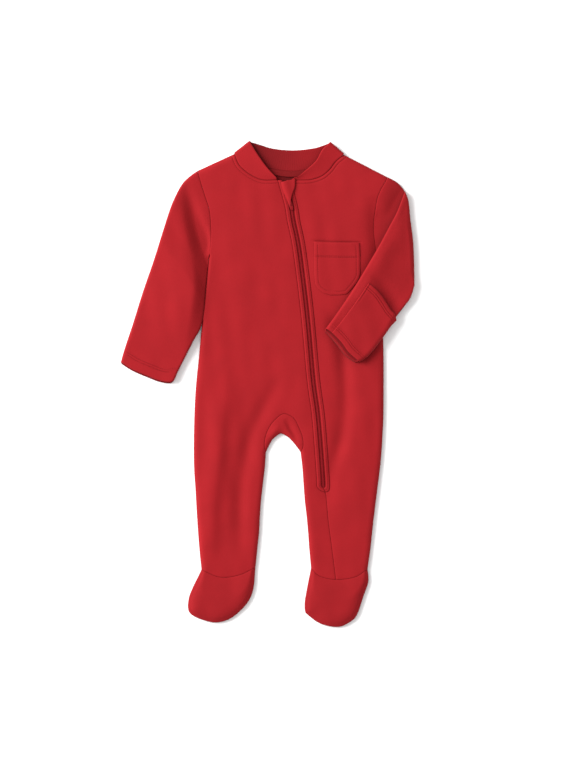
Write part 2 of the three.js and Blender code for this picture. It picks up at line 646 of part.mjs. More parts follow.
// A mitten flap: the sleeve's back face moved out, from its seam to the sleeve's edge.
function mitten(name, stationAt, wraps) {
  const across = steps(7);
  const bends = wraps ? [0.3, 0.6, 0.9].map((share) => (Math.PI / 2) * share) : [];
  const face = (grow) => steps(6).map((down) => {
    const flat = across.map((share) => {
      const s = mix(mix(MITTEN.seamAtOpening, MITTEN.seamAtCuff, down), 0.95, share);
      const opening = mix(MITTEN.openingAtSeam, MITTEN.openingAtEdge, share);
      const { tall, place } = stationAt(mix(opening, 1, down));
      return place(s, -tall / 2 - grow);
    });
    const { width, tall, place } = stationAt(mix(MITTEN.openingAtEdge, 1, down));
    const radius = tall / 2;
    const round = bends.map((a) => place(
      (width - radius + (radius + grow) * Math.sin(a)) / width, -(radius + grow) * Math.cos(a)));
    return [...flat, ...round];
  });
  return piece(name, [{ outer: face(SEAM + CLOTH), inner: face(SEAM) }]);
}

function mittens() {
  const plan = forearmPlan(foldCentre());
  return [
    mitten('mitten_left', (v) => forearmStation(plan, v), true),
    mitten('mitten_right', sleeveRightStation, false),
  ];
}

// The neckband is one strip: front, round the side of the neck, back, and round again.
const BAND = { thick: 2.4, radius: 1.95, start: 3.4 };
const BAND_MIDDLE = BAND.radius + BAND.thick / 2;

// Stations along a flat part of the band, each with its point at the seam and at the free edge.
function bandPart(seam, edge, shares, isFront, startsTurned, endsTurned) {
  const lines = [seam, edge].map(lineOf);
  return shares.map((share) => {
    const [seamPoint, edgePoint] = lines.map((line) => {
      const margin = BAND.start / line.getLength();
      const [first, last] = [startsTurned ? margin : 0, endsTurned ? 1 - margin : 1];
      return line.getPointAt(Math.min(last, Math.max(first, share)));
    });
    const gap = 1.3 * SEAM / seamPoint.distanceTo(edgePoint);
    return {
      seam: between(seamPoint, edgePoint, gap),
      edge: edgePoint,
      z: BAND_MIDDLE + (isFront ? BAND.radius : -BAND.radius),
      normal: new THREE.Vector3(0, 0, isFront ? 1 : -1),
    };
  });
}

// The band's turn at the side of the neck, between the last front and first back station.
function bandTurn(front, rear, side) {
  const along = front.edge.clone().sub(front.seam).normalize();
  const out = at([-along.y, along.x]).multiplyScalar(side);
  return steps(6).slice(1, -1).map((share) => {
    const angle = Math.PI * share;
    const reach = out.clone().multiplyScalar(BAND.radius * Math.sin(angle));
    const blend = (1 - Math.cos(angle)) / 2;
    return {
      seam: between(front.seam, rear.seam, blend).add(reach),
      edge: between(front.edge, rear.edge, blend).add(reach),
      z: BAND_MIDDLE + BAND.radius * Math.cos(angle),
      normal: new THREE.Vector3(out.x * Math.sin(angle), out.y * Math.sin(angle), Math.cos(angle)),
    };
  });
}

function neckband() {
  const rightShares = sharesOver(crotchShares('front'), RIGHT_CORNER);
  const leftShares = sharesOver(LEFT_COLUMNS, 0, LEFT_CORNER).with(0, 0.04);
  const backShares = backNeckShares(crotchShares('back'));
  const frontR = bandPart(NECK_SEAM_R, BAND_EDGE_R, rightShares, true, true, false).toReversed();
  const rear = bandPart(NECK_SEAM_BACK, BAND_EDGE_BACK, backShares, false, true, true);
  const frontL = bandPart(NECK_SEAM_L, BAND_EDGE_L.toReversed(), leftShares, true, false, true).toReversed();
  const stations = [
    ...frontR, ...bandTurn(frontR.at(-1), rear[0], 1), ...rear,
    ...bandTurn(frontL[0], rear.at(-1), -1).toReversed(), ...frontL,
  ];
  const face = (sign) => stations.map(({ seam, edge, z, normal }) => [0, 0.33, 0.67, 1].map((share) => {
    const p = between(seam, edge, share);
    return new THREE.Vector3(p.x, p.y, z).addScaledVector(normal, sign * BAND.thick / 2);
  }));
  return piece('neckband', [{ outer: face(1), inner: face(-1) }]);
}

// The tape inside the back of the neck.
function neckTape() {
  const shares = steps(14).map((share) => mix(NECK_TAPE.from, NECK_TAPE.to, share));
  const seam = spread(NECK_SEAM_BACK, shares);
  const rows = [SEAM, NECK_TAPE.wide].map((drop) => seam.map((p) => at([p.x, p.y - drop])));
  const top = CLOTH + SEAM + NECK_TAPE.thick;
  return piece('neck_tape', [layer(rows, () => top, NECK_TAPE.thick)], DARK_RED);
}

// A strip along the zip between two reaches from its middle line.
const zipStrip = (heights, reachFrom, reachTo, columns = 2) => heights.map((y) => {
  const [from, to] = [reachFrom, reachTo].map((reach) => at([zipX(y) + reach(y), y]));
  return straight(from, to, steps(columns));
});

function zipBinding(side) {
  const heights = zipRows(NECK - SEAM, ZIP.end - ZIP_END_SHAPE[2][0], 18);
  const inner = (y) => side * zipHalf(y, ZIP.channel);
  const outer = (y) => side * zipHalf(y, ZIP_REACH);
  const rows = side < 0 ? zipStrip(heights, outer, inner) : zipStrip(heights, inner, outer);
  const top = (x, y) => frontTop(x, y) + BINDING_LIFT;
  return piece(side < 0 ? 'zip_binding_right' : 'zip_binding_left', [layer(rows, top)]);
}

function zipTape() {
  const { half, lift, thick, from, to } = ZIP_TAPE;
  const rows = zipStrip(zipRows(from, to, 22), () => -half, () => half);
  return piece('zip_tape', [layer(rows, (x, y) => frontTop(x, y) + lift, thick)], DARK_RED);
}

function zipCoil() {
  const { half, lift, thick, crown, from, to } = ZIP_COIL;
  const rows = zipStrip(zipRows(from, to, 18), () => -half, () => half, 4);
  const top = (x, y) => frontTop(x, y) + lift - crown * ((x - zipX(y)) / half) ** 2;
  return piece('zip_coil', [layer(rows, top, thick)], ZIP_RED, 0.5);
}

// A flat block on the zip line, narrowed at both ends.
function zipBlock(name, { half, lift, thick, from, to }) {
  const middle = (from + to) / 2;
  const top = frontTop(zipX(middle), middle) + lift;
  const ends = [[0, 0.7], [0.15, 1], [0.5, 1], [0.85, 1], [1, 0.7]];
  const rows = ends.map(([share, narrow]) => {
    const y = mix(from, to, share);
    return straight(at([zipX(y) - half * narrow, y]), at([zipX(y) + half * narrow, y]), steps(2));
  });
  return piece(name, [layer(rows, () => top, thick)], ZIP_RED, 0.4);
}

// The cloth flap over the slider: raised along the zip line, sewn down beside it.
function zipGarage() {
  const { lift, crown, thick, crownHalf, fromTop } = ZIP_GARAGE;
  const down = steps(7);
  const right = spread(GARAGE.right, down);
  const rows = spread(GARAGE.left, down).map((p, i) => straight(p, right[i], steps(5)));
  const top = (x, y) => {
    const high = Math.exp(-(((x - zipX(y)) / crownHalf) ** 2)) * Math.min(1, (NECK + 2 - y) / fromTop);
    return frontTop(x, y) + lift + crown * high;
  };
  return piece('zip_garage', [layer(rows, top, thick)]);
}

function pocket() {
  const across = steps(7);
  const down = [0, 0.25, 0.5, 0.72, 0.88, 1];
  const rows = patch(
    spread(POCKET.top, across), spread(POCKET.bottom, across),
    spread(POCKET.left, down), spread(POCKET.right, down));
  return piece('pocket', [layer(rows, (x, y) => frontTop(x, y) + SEAM + CLOTH)]);
}

const sleepsuit = new THREE.Group();
sleepsuit.name = 'footed_sleepsuit';
sleepsuit.add(
  back(),
  frontRight(),
  frontLeft(),
  gusset(),
  sleeveRight(),
  sleeveLeft(),
  ...mittens(),
  neckband(),
  neckTape(),
  zipBinding(-1),
  zipBinding(1),
  zipTape(),
  zipCoil(),
  zipBlock('zip_slider', ZIP_SLIDER),
  zipBlock('zip_pull', ZIP_PULL),
  zipGarage(),
  pocket(),
  ...foot('right', ANKLE_POINTS_R, FOOT_R),
  ...foot('left', ANKLE_POINTS_L, FOOT_L),
);

export default sleepsuit;
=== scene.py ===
import math
from types import SimpleNamespace as Sizes

import bpy
import numpy as np
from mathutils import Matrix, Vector
from mathutils.geometry import delaunay_2d_cdt


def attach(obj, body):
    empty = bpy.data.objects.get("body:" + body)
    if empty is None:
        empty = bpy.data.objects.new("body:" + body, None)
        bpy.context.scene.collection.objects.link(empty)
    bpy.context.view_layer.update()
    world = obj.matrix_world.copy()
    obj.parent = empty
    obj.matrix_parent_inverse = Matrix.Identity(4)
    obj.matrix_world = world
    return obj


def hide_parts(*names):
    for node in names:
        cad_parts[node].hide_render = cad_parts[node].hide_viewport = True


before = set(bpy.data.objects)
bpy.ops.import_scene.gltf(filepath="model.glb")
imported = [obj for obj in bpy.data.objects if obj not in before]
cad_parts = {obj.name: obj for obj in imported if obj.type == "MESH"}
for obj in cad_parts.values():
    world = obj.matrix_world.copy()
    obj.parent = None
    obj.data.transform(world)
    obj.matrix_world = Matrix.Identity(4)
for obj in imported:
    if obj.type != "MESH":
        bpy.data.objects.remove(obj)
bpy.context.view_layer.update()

# A footed baby sleepsuit laid flat, front up. Tables are in millimetres:
# x runs across (the wearer's right is -x), y from feet to neck, z up from the floor.
MM = 0.001
# Cloth: thickness, space between layers, and how far pieces meet at their seams.
CLOTH = 1.4
GAP = 0.3
JOIN = 0.05
SLEEVE_JOIN = 0.02
THINNEST = 0.05
# Levels: where front and back meet at the side, the front, a foot, and the least rise above the side.
SIDE_Z = 2.6
FRONT_Z = 6.3
FOOT_Z = 8.2
LEAST_RISE = 0.15
# How wide the edges are round, free and where they lie tucked beside a sleeve down to these heights.
RIM = 6.0
TUCKED_RIM = 2.6
TUCKED_DOWN_TO = {"side_r": 78, "side_l": 95}
SEAM = Sizes(radius=1.5, drop=0.6, dip_wide=5.0, dip=0.35)
STITCH = Sizes(pitch=2.6, space=0.55, radius=0.24, first=0.4, sides=5)
TOPSTITCH = Sizes(from_seam=4.0, wide=0.5, deep=0.4, ridge_at=2.2, ridge_wide=1.3, ridge=0.3)
# Hems, points near an end and rows of stitches, by their distance from the edge.
HEM = Sizes(double=0.35, soft=0.3, row=0.6, edge=0.9, edge_radius=1.4)
AT_END = (0, 0.3, 0.8, 1.6, 3, 4.6)
HEM_R = Sizes(rows=(11.4, 14.2), deep=15.6)
HEM_L = Sizes(rows=(6.6, 9.0), deep=10.4)
FLAP_ROWS = Sizes(opening=(4.4, 7.0), seam=2.4, seam_fades=(12, 36), seam_ends=26)
RIPPLE = Sizes(high=0.15, waves=7, shortest=14.0, longest=42.0, seed=5)
NECK = 245.2
# The spacing of the points along every outline.
STEP = 1.6

# Smooth curves in plan, by the points that they pass.
CURVES = {
    "armhole_r": [
        (-84, 256.2), (-79.9, 242.4), (-74.5, 225.2), (-69.8, 210.2), (-67.8, 190.9), (-67.8, 171.7),
        (-69.8, 154.6),
    ],
    "side_r": [
        (-69.8, 154.6), (-73.8, 113.4), (-78.6, 72.6), (-82.2, 34.2), (-86.4, -9), (-88.2, -54.6),
        (-88.2, -96.6), (-86.4, -126.6), (-84, -167.4), (-81.6, -198.6), (-79.2, -222),
    ],
    "armhole_l": [
        (143.9, 248.5), (141.6, 243.1), (136.2, 234), (131.6, 222.5), (129.4, 208.7), (127.8, 197.2),
        (127.8, 181.9), (129.4, 168.1), (131, 155),
    ],
    "side_l": [
        (131, 155), (133.8, 119.4), (138, 72.6), (139.2, 34.2), (139.2, -30.6), (138, -61.8),
        (136.8, -81), (135, -100.2), (131.4, -129), (127.2, -162.6), (123.6, -196.2), (120.1, -221),
    ],
    "neck_r": [(-39.6, 276.6), (-34.3, 263.8), (-25.3, 254.9), (-14.3, 248.2), (-4.2, 245), (11.9, NECK)],
    "neck_l": [
        (28.4, NECK), (46, 245), (54.8, 246.1), (66, 250.3), (74.9, 258.1), (81.6, 267), (91.8, 275.4),
    ],
    "neck_back": [
        (-39.6, 276.6), (-15, 262.2), (14.8, 256.2), (28.2, 255), (42.6, 256.2), (69, 262.2),
        (91.8, 275.4),
    ],
    "band_r": [(-21, 291), (-11.4, 275.4), (-0.6, 260.4), (10.5, 248.2)],
    "band_l": [(75, 289.8), (66, 282), (58.2, 268.2), (46, 257), (37.1, 249.4), (32.5, 248.2)],
    "band_back": [
        (-21, 291), (-9.7, 287.6), (2.5, 283.7), (15.8, 281.6), (31.4, 280.8), (47, 282), (60.5, 284.5),
        (75, 289.8),
    ],
    "inner_r": [
        (-1.8, -81), (-3.2, -100.2), (-5.4, -119.4), (-7.6, -138.6), (-9, -157.8), (-10, -177),
        (-12, -196.2), (-14.4, -219.5),
    ],
    "inner_l": [
        (39.6, -81), (41.8, -100.2), (43.2, -119.4), (44.6, -138.6), (46.8, -157.8), (48.6, -177),
        (50, -196.2), (52.2, -220.2),
    ],
    "crotch": [
        (-1.8, -81), (4.7, -68), (10.4, -62.3), (15.6, -59), (20.2, -60.4), (25.9, -64.2),
        (32.4, -71.3), (39.6, -81),
    ],
    "gusset": [
        (-1.8, -81), (-3.6, -72.6), (-1.7, -60.4), (4.7, -47.5), (15, -37.2), (22.2, -35.3),
        (31.7, -40.4), (36.8, -49.4), (41.4, -60.4), (43, -68.8), (42.4, -76.4), (39.6, -81),
    ],
    "ankle_r": [(-79.2, -222), (-57, -231), (-34.2, -228.6), (-14.4, -219.5)],
    "ankle_l": [(52.2, -220.2), (62.8, -229.7), (82.8, -233.9), (105.8, -230.6), (120.1, -221)],
    "foot_r": [
        (-79.2, -222), (-90.8, -245.9), (-95, -259.3), (-94.2, -272.6), (-83.6, -280.2),
        (-64.4, -285.5), (-47.4, -282.2), (-33.8, -272.6), (-22.3, -259.3), (-16.7, -244),
        (-14.4, -219.5),
    ],
    "foot_l": [
        (52.2, -220.2), (47.4, -244), (44.6, -261), (45, -271.8), (48.6, -276.6), (63.7, -287),
        (84.6, -290.9), (100.1, -284.2), (107.8, -275.4), (115.3, -253.6), (121, -236.4), (120.1, -221),
    ],
}

# The zip's middle line, on down the seam below it, and its half widths.
ZIP_LINE = [
    (19.8, 246), (28.2, 215.4), (31.6, 195.4), (37.7, 165.8), (44.4, 115.3), (49.2, 71.4), (55.2, 5.4),
    (60.6, -34.4), (64, -74.2), (66.8, -114), (67.2, -123), (70.2, -132.6), (73.1, -163.8), (77, -193.6),
    (82.1, -234),
]
ZIP = Sizes(end=-121, channel=2.7, channel_end=2.8, reach=7.6, reach_end=8)
BINDING = Sizes(
    from_neck=0.3, gap=0.01, above=0.6, thick=1.2, edge=0.85, edge_radius=1.5, stitches_from_neck=2,
)
ZIP_TAPE = Sizes(half=6.4, under=0.9, thick=0.6, from_neck=2, past_end=5)
ZIP_TEETH = Sizes(
    pitch=1.35, half=1.75, tip=0.7, radius=0.42, under=0.3, slant=0.35,
    from_neck=5, past_end=1.5,
)
GARAGE_LEFT = [(15.8, 242.5), (18.1, 232.6), (23.6, 220.3), (26, 213.8)]
GARAGE_RIGHT = [(33.6, 246.4), (33.1, 237), (29.5, 226.9), (26.9, 213.6)]
POCKET = Sizes(
    top=[(55.8, 171), (83, 170), (110.3, 169.8)],
    side_l=[(55.8, 171), (56.4, 127.8), (59.2, 116.9), (66.6, 110), (75.7, 107)],
    side_r=[(110.3, 169.8), (111.2, 142.6), (110, 127.2), (97.8, 110.8), (91.1, 107.6), (75.7, 107)],
    hem_rows=(16.5, 18), hem=17.2, hem_soft=0.5, double=0.3, row=0.25, side_row=4.4,
    edge=0.6, edge_radius=2.2, lift=0.9, lift_down=9, lift_in=10,
    above=0.85, under=0.12, lift_under=0.8,
)
POCKET_DENT = Sizes(above=0.9, deep=0.7, wide=0.8)
FOOT = Sizes(rim=16, instep=24, seam_at=2.6, seam_wide=0.7, seam_deep=0.6)

# The sleeve by the side: over edge, under edge and end.
SLEEVE_R = Sizes(
    over=[
        (-84, 256.2), (-95.4, 247.8), (-103.8, 238.2), (-114.6, 216.6), (-124.2, 187.8), (-136.2, 149.4),
        (-149.4, 111), (-161.4, 72.6), (-171, 43.8), (-175.8, 27),
    ],
    under=[
        (-69.8, 154.6), (-73.8, 113.4), (-78.7, 72.6), (-89.4, 51), (-99, 31.8), (-107.4, 15), (-111.6, 5.4),
    ],
    cuff=[(-175.8, 27), (-161.4, 18), (-143.4, 10.2), (-129, 4.8), (-117, 3), (-111.6, 5.4)],
    towards=(-0.32, -0.95), under_out=1.8, out_for=3, length=215.0, folds_from_end=30, folds_from_seam=6,
)
# The folded sleeve: out to its fold, then back over the chest to its end.
SLEEVE_L = Sizes(
    fold=[(164.9, 231.6), (169.1, 220.2), (171.5, 197.2), (174.5, 174.2), (175.8, 149.4), (176.3, 118.2)],
    upper_over=[(143.9, 248.5), (150, 245.6), (156.5, 241.4), (161.4, 236.2)],
    upper_under=[(131, 155), (150, 141)],
    fore_over=[
        (155.4, 207.1), (146.2, 189.6), (133.9, 166.6), (115.8, 135.8), (101.3, 112.2), (82.1, 83.9),
        (69.8, 67),
    ],
    fore_under=[
        (171.5, 104), (164.8, 94.6), (154.1, 80.8), (139.6, 60.1), (125, 41), (116.5, 32.5), (109.2, 27.9),
    ],
    cuff=[(69.8, 67), (76.8, 62.4), (88.2, 51), (97.4, 38.6), (109.2, 27.9)],
    towards=(-0.7, -0.71), under_out=(3.6, 11), out_for=4, length=150.0,
    folds_from_end=12, folds_from_seam=5,
)
# Painted shade on the sleeves' insides, which shows in the cuffs' mouths.
SLEEVE_INSIDE_SHADE = 0.72
LEAST_TUBE = 2 * CLOTH + 0.1
TUBE = Sizes(flats=30, bends=7)
FOLD = Sizes(radius=2.3, tall=4.0, pinched=0.06, pinched_for=0.16)
MITTEN_LIFT = CLOTH + 2 * GAP
MITTEN = Sizes(
    seam_at_opening=0.2, seam_at_cuff=0.16, opening_at_seam=0.57, opening_at_edge=0.39,
    edge=0.95, lifts=(0.28, 0.38), flare=2.2, flare_down=0.1,
)
FLAP = Sizes(lift=1.8, lift_down=12, lift_in=(2, 14), row=0.6, edge=0.8, edge_radius=1.2)
# How the forearm rests: share of the way from fold to cuff, height of its underside at
# its upper and lower edge, height of the flattened tube.
FOREARM_REST = [
    (0, 4.6, 4.6, 4.0), (0.2, 6.6, 4.6, 4.6), (0.35, 8.2, 4.6, 5.2),
    (0.55, 9.7, 5.2, 5.6), (0.75, 9.5, 6.8, 5.8), (1, 8.2, 7.8, 6.2),
]

# Soft ridges and troughs: points along each, width on its left and its right, height.
BODY_FOLDS = [
    ([(20, 20), (6, -8), (-8, -34), (-20, -62), (-29, -104), (-33, -150), (-34, -215)], 9, 10, -2.5),
    ([(-50, 25), (-53, -15), (-58, -70), (-64, -125), (-67, -170), (-68, -225)], 10, 14, 3.2),
    ([(66, 108), (78, 72), (90, 36), (93, -15), (90, -60), (77, -105), (71, -150)], 8, 9, -2.7),
    ([(112, 40), (113, 0), (107, -60), (101, -130), (98, -200)], 18, 14, 1.3),
    ([(-30, 215), (-36, 150), (-34, 90), (-40, 40)], 20, 16, 0.9),
    ([(128, 226), (131, 196), (133, 164), (134, 130), (134, 96)], 9, 11, -3.4),
]
GUSSET_FOLDS = [
    ([(21, -41), (27, -52), (33, -63), (36, -72)], 4, 3, -1.7),
    ([(2, -66), (8, -56), (16, -48)], 4, 5, 0.7),
]


# Points along smooth curves

def run_along(line):
    """Distance from a line's start at each of its points."""
    return np.concatenate([[0], np.cumsum(np.linalg.norm(np.diff(line, axis=0), axis=1))])


def resample(points, step):
    places = run_along(points)
    count = max(2, int(round(places[-1] / step)) + 1)
    wanted = np.linspace(0, places[-1], count)
    return np.stack([np.interp(wanted, places, points[:, k]) for k in (0, 1)], axis=1)


def spline(points, step=STEP):
    """Points at even steps along a smooth curve through the given ones."""
    p = np.array(points, float)
    padded = np.vstack([2 * p[0] - p[1], p, 2 * p[-1] - p[-2]])
    t = np.linspace(0, 1, 12, endpoint=False)[:, None]
    parts = []
    for a, b, c, d in zip(padded, padded[1:], padded[2:], padded[3:]):
        square, cube = a - 2.5 * b + 2 * c - d / 2, 1.5 * b - a / 2 - 1.5 * c + d / 2
        parts.append(b + (c - a) * t / 2 + square * t**2 + cube * t**3)
    return resample(np.vstack([*parts, p[-1:]]), step)


def along(points):
    """A curve's plan point at any shares of its length."""
    fine = spline(points, 0.4)
    shares = np.linspace(0, 1, len(fine))
    return lambda share: np.stack([np.interp(share, shares, fine[:, k]) for k in (0, 1)], axis=-1)


def chain(*lines):
    """Lines joined end to end into one closed outline."""
    return np.vstack([line[:-1] for line in lines])


def nearest(points, line):
    """Distance to a line, share of the way along it, and 1 on its left or -1 on its right."""
    a, d = line[:-1], np.diff(line, axis=0)
    squared = (d**2).sum(1)
    found = []
    for part in np.array_split(points, 1 + len(points) // 2000):
        r = part[:, None] - a
        t = np.clip((r * d).sum(2) / squared, 0, 1)
        gap = ((r - t[..., None] * d) ** 2).sum(2)
        rows, i = np.arange(len(part)), gap.argmin(1)
        turn = d[i, 0] * r[rows, i, 1] - d[i, 1] * r[rows, i, 0]
        found.append(np.stack([np.sqrt(gap[rows, i]), (i + t[rows, i]) / len(d), np.sign(turn)]))
    return np.hstack(found)


def distance(points, *lines):
    return np.min([nearest(points, line)[0] for line in lines], axis=0)


def inside(points, loop):
    x, y = points[:, :1], points[:, 1:]
    a, b = loop, np.roll(loop, -1, axis=0)
    spans = (a[:, 1] > y) != (b[:, 1] > y)
    rise = np.where(b[:, 1] == a[:, 1], 1, b[:, 1] - a[:, 1])
    left = x < a[:, 0] + (b[:, 0] - a[:, 0]) * (y - a[:, 1]) / rise
    return (spans & left).sum(1) % 2 == 1


def normals(line, closed=False):
    """Unit vectors to the left of a line at each of its points."""
    d = np.roll(line, -1, axis=0) - np.roll(line, 1, axis=0) if closed else np.gradient(line, axis=0)
    return np.stack([-d[:, 1], d[:, 0]], axis=1) / np.hypot(*d.T)[:, None]


def beside(line, by):
    """The line moved to its left."""
    return line + normals(line) * by


def plan_area(outline):
    """An outline's area, below 0 where it runs clockwise."""
    x, y = outline.T
    return (x * np.roll(y, -1) - np.roll(x, -1) * y).sum() / 2


def rounded(away, radius):
    """0 at an edge and 1 from radius inwards, round in section."""
    t = np.clip(1 - away / radius, 0, 1)
    return np.sqrt(1 - t * t)


def groove(away, at, wide=0.45):
    """A smooth bell, 1 at a place and near 0 at twice its width from there."""
    return np.exp(-(((away - at) / wide) ** 2))


def step_down(away, at, soft):
    """1 before a place and 0 beyond it, with a soft change."""
    return 0.5 - 0.5 * np.tanh((away - at) / (2 * soft))


def share_of(value, low, high):
    """0 up to low, 1 from high on, in between in proportion."""
    return np.clip((value - low) / (high - low), 0, 1)


def mix(a, b, share):
    return a * (1 - share) + b * share


def fold_lines(rows):
    return [(spline(points), left, right, high) for points, left, right, high in rows]


def relief(p, folds):
    """Height of soft folds, each full along its middle and gone at its ends."""
    total = np.zeros(len(p))
    for line, left, right, high in folds:
        away, share, side = nearest(p, line)
        full = np.clip(4.6 * share * (1 - share), 0, 1)
        total += high * full * np.exp(-((away / np.where(side > 0, left, right)) ** 2))
    return total


RIPPLE_WAVES = np.random.default_rng(RIPPLE.seed).uniform(
    (RIPPLE.shortest, 0, 0), (RIPPLE.longest, math.pi, 2 * math.pi), (RIPPLE.waves, 3))


def ripple(p):
    """Slight unevenness of cloth lying on cloth."""
    total = 0
    for length, turn, phase in RIPPLE_WAVES:
        run = p[:, 0] * math.cos(turn) + p[:, 1] * math.sin(turn)
        total = total + np.sin(run * 2 * math.pi / length + phase)
    return RIPPLE.high * total / math.sqrt(RIPPLE.waves / 2)


# The zip's middle line as x at a height
ZIP_FINE = spline(ZIP_LINE, 0.5)


def zip_x(y):
    return np.interp(-np.asarray(y, float), -ZIP_FINE[:, 1], ZIP_FINE[:, 0])


def zip_edge(side, reach, end, top=NECK):
    """A line beside the zip from the neck down and round its lower end."""
    y = np.arange(top, ZIP.end, -STEP)
    straight = np.stack([zip_x(y) + side * reach, y], axis=1)
    angle = np.linspace(0, math.pi / 2, 9)
    low = ZIP.end - end * np.sin(angle)
    return np.vstack([straight, np.stack([zip_x(low) + side * reach * np.cos(angle), low], axis=1)])


# Shared lines of the body
CURVES["shoulder_r"] = [CURVES["neck_r"][0], CURVES["armhole_r"][0]]
CURVES["shoulder_l"] = [CURVES["neck_l"][-1], CURVES["armhole_l"][0]]
LINES = {name: spline(points) for name, points in CURVES.items()}
low_seam = ZIP_FINE[ZIP_FINE[:, 1] < ZIP.end - ZIP.reach_end]
ankle_fine = spline(CURVES["ankle_l"], 0.5)
seam_foot = int(np.argmin(np.abs(ankle_fine - low_seam[-1]).sum(1)))
LINES["low_seam"] = resample(np.vstack([low_seam[:-1], ankle_fine[seam_foot]]), STEP)
LINES["ankle_l_in"] = resample(ankle_fine[:seam_foot + 1], STEP)
LINES["ankle_l_out"] = resample(ankle_fine[seam_foot:], STEP)
LINES["ankle_l"] = np.vstack([LINES["ankle_l_in"], LINES["ankle_l_out"][1:]])
for side, name in ((-1, "zip_r"), (1, "zip_l")):
    LINES[name] = zip_edge(side, ZIP.reach, ZIP.reach_end)
for name, lowest in TUCKED_DOWN_TO.items():
    high = LINES[name][:, 1] > lowest
    LINES[name + "_tucked"], LINES[name + "_free"] = LINES[name][high], LINES[name][~high]


def lines(names):
    """The named lines; a minus before a name runs its line backwards."""
    return [LINES[name[1:]][::-1] if name[0] == "-" else LINES[name] for name in names.split()]


BODY_RIM = lines("side_r side_l inner_r inner_l crotch shoulder_r shoulder_l")
FREE_RIM = lines("side_r_free side_l_free inner_r inner_l crotch shoulder_r shoulder_l")
BODY_SEAMS = lines("armhole_r armhole_l neck_r neck_l gusset ankle_r ankle_l low_seam zip_r zip_l")
NECK_STITCH = [beside(line, -TOPSTITCH.from_seam) for line in lines("neck_r neck_l")]
POCKET_MOUTH = beside(spline(POCKET.top), POCKET_DENT.above)
BODY_RELIEF, GUSSET_RELIEF = fold_lines(BODY_FOLDS), fold_lines(GUSSET_FOLDS)


def soft_top(p):
    """The front's height without its seams."""
    tucked = distance(p, *lines("side_r_tucked side_l_tucked"))
    rim = np.minimum(rounded(distance(p, *FREE_RIM), RIM), rounded(tucked, TUCKED_RIM))
    return SIDE_Z + (FRONT_Z + relief(p, BODY_RELIEF) + ripple(p) - SIDE_Z) * rim


def seam_drop(p, seams):
    away = distance(p, *seams)
    crease = SEAM.drop * (1 - rounded(away, SEAM.radius))
    return crease + SEAM.dip * groove(away, 0, SEAM.dip_wide)


def front_top(p):
    neck = distance(p, *lines("neck_r neck_l"))
    raised = TOPSTITCH.ridge * groove(neck, TOPSTITCH.ridge_at, TOPSTITCH.ridge_wide)
    sunk = TOPSTITCH.deep * groove(neck, TOPSTITCH.from_seam, TOPSTITCH.wide)
    mouth = POCKET_DENT.deep * groove(distance(p, POCKET_MOUTH), 0, POCKET_DENT.wide)
    return np.maximum(soft_top(p) + raised - sunk - mouth - seam_drop(p, BODY_SEAMS), SIDE_Z + LEAST_RISE)


def gusset_top(p):
    top = soft_top(p) + relief(p, GUSSET_RELIEF) - seam_drop(p, BODY_SEAMS)
    return np.maximum(top, SIDE_Z + LEAST_RISE)


def front_faces(top_at):
    """Gives the upper and lower height of a front layer, from its upper height."""
    def faces_at(p):
        top = top_at(p)
        return top, np.minimum(np.maximum(top - CLOTH, SIDE_Z + THINNEST), top - THINNEST)

    return faces_at


def back_faces(*rims):
    """The same for a back layer, which curves up to its rims."""
    def faces_at(p):
        rise = rounded(distance(p, *rims), RIM)
        top = CLOTH + (SIDE_Z - GAP / 2 - CLOTH) * (1 - rise)
        return top, np.minimum((SIDE_Z - GAP) * (1 - rise), top - THINNEST)

    return faces_at


# Materials

class Nodes:
    """Short calls for building one material's node tree."""

    def __init__(self, name):
        self.material = bpy.data.materials.new(name)
        self.material.use_nodes = True
        self.tree = self.material.node_tree
        self.tree.nodes.clear()

    def add(self, kind, inputs=(), **settings):
        node = self.tree.nodes.new(kind)
        for key, value in settings.items():
            setattr(node, key, value)
        for key, value in dict(inputs).items():
            if isinstance(value, bpy.types.NodeSocket):
                self.tree.links.new(value, node.inputs[key])
            else:
                node.inputs[key].default_value = value
        return node

    def math(self, operation, a, b=0.0):
        return self.add("ShaderNodeMath", {0: a, 1: b}, operation=operation).outputs[0]

    def times(self, a, b):
        return self.math("MULTIPLY", a, b)

    def plus(self, first, *others):
        for other in others:
            first = self.math("ADD", first, other)
        return first

    def wave(self, value, length, kind="SINE"):
        return self.math(kind, self.times(value, 2 * math.pi / length))

    def noise(self, scale, detail):
        place = self.add("ShaderNodeTexCoord").outputs["Object"]
        inputs = {"Vector": place, "Scale": scale, "Detail": detail}
        return self.add("ShaderNodeTexNoise", inputs).outputs[0]

    def across_and_down(self):
        """Millimetres along the cloth's two directions."""
        place = self.add("ShaderNodeUVMap", uv_map="cloth").outputs[0]
        split = self.add("ShaderNodeSeparateXYZ", {0: place})
        return split.outputs[0], split.outputs[1]

    def painted_crease_shade(self, tone):
        """The tone, darker deep in creases: painted shade from an ambient occlusion node."""
        reach, least = CREASE_SHADE.reach, CREASE_SHADE.least
        found = self.add("ShaderNodeAmbientOcclusion", {"Distance": reach}, samples=CREASE_SHADE.samples)
        return self.times(tone, self.plus(self.times(found.outputs["AO"], 1 - least), least))

    def finish(self, color, tone, height, strength, deep, inputs):
        """The finished material: a colour times a tone, with a height as its bump."""
        bump = self.add("ShaderNodeBump", {"Height": height, "Strength": strength, "Distance": deep})
        mixed = self.add("ShaderNodeVectorMath", {0: color[:3], "Scale": tone}, operation="SCALE")
        surface = {"Base Color": mixed.outputs[0], "Normal": bump.outputs[0], **inputs}
        shader = self.add("ShaderNodeBsdfPrincipled", surface)
        self.add("ShaderNodeOutputMaterial", {"Surface": shader.outputs[0]})
        return self.material
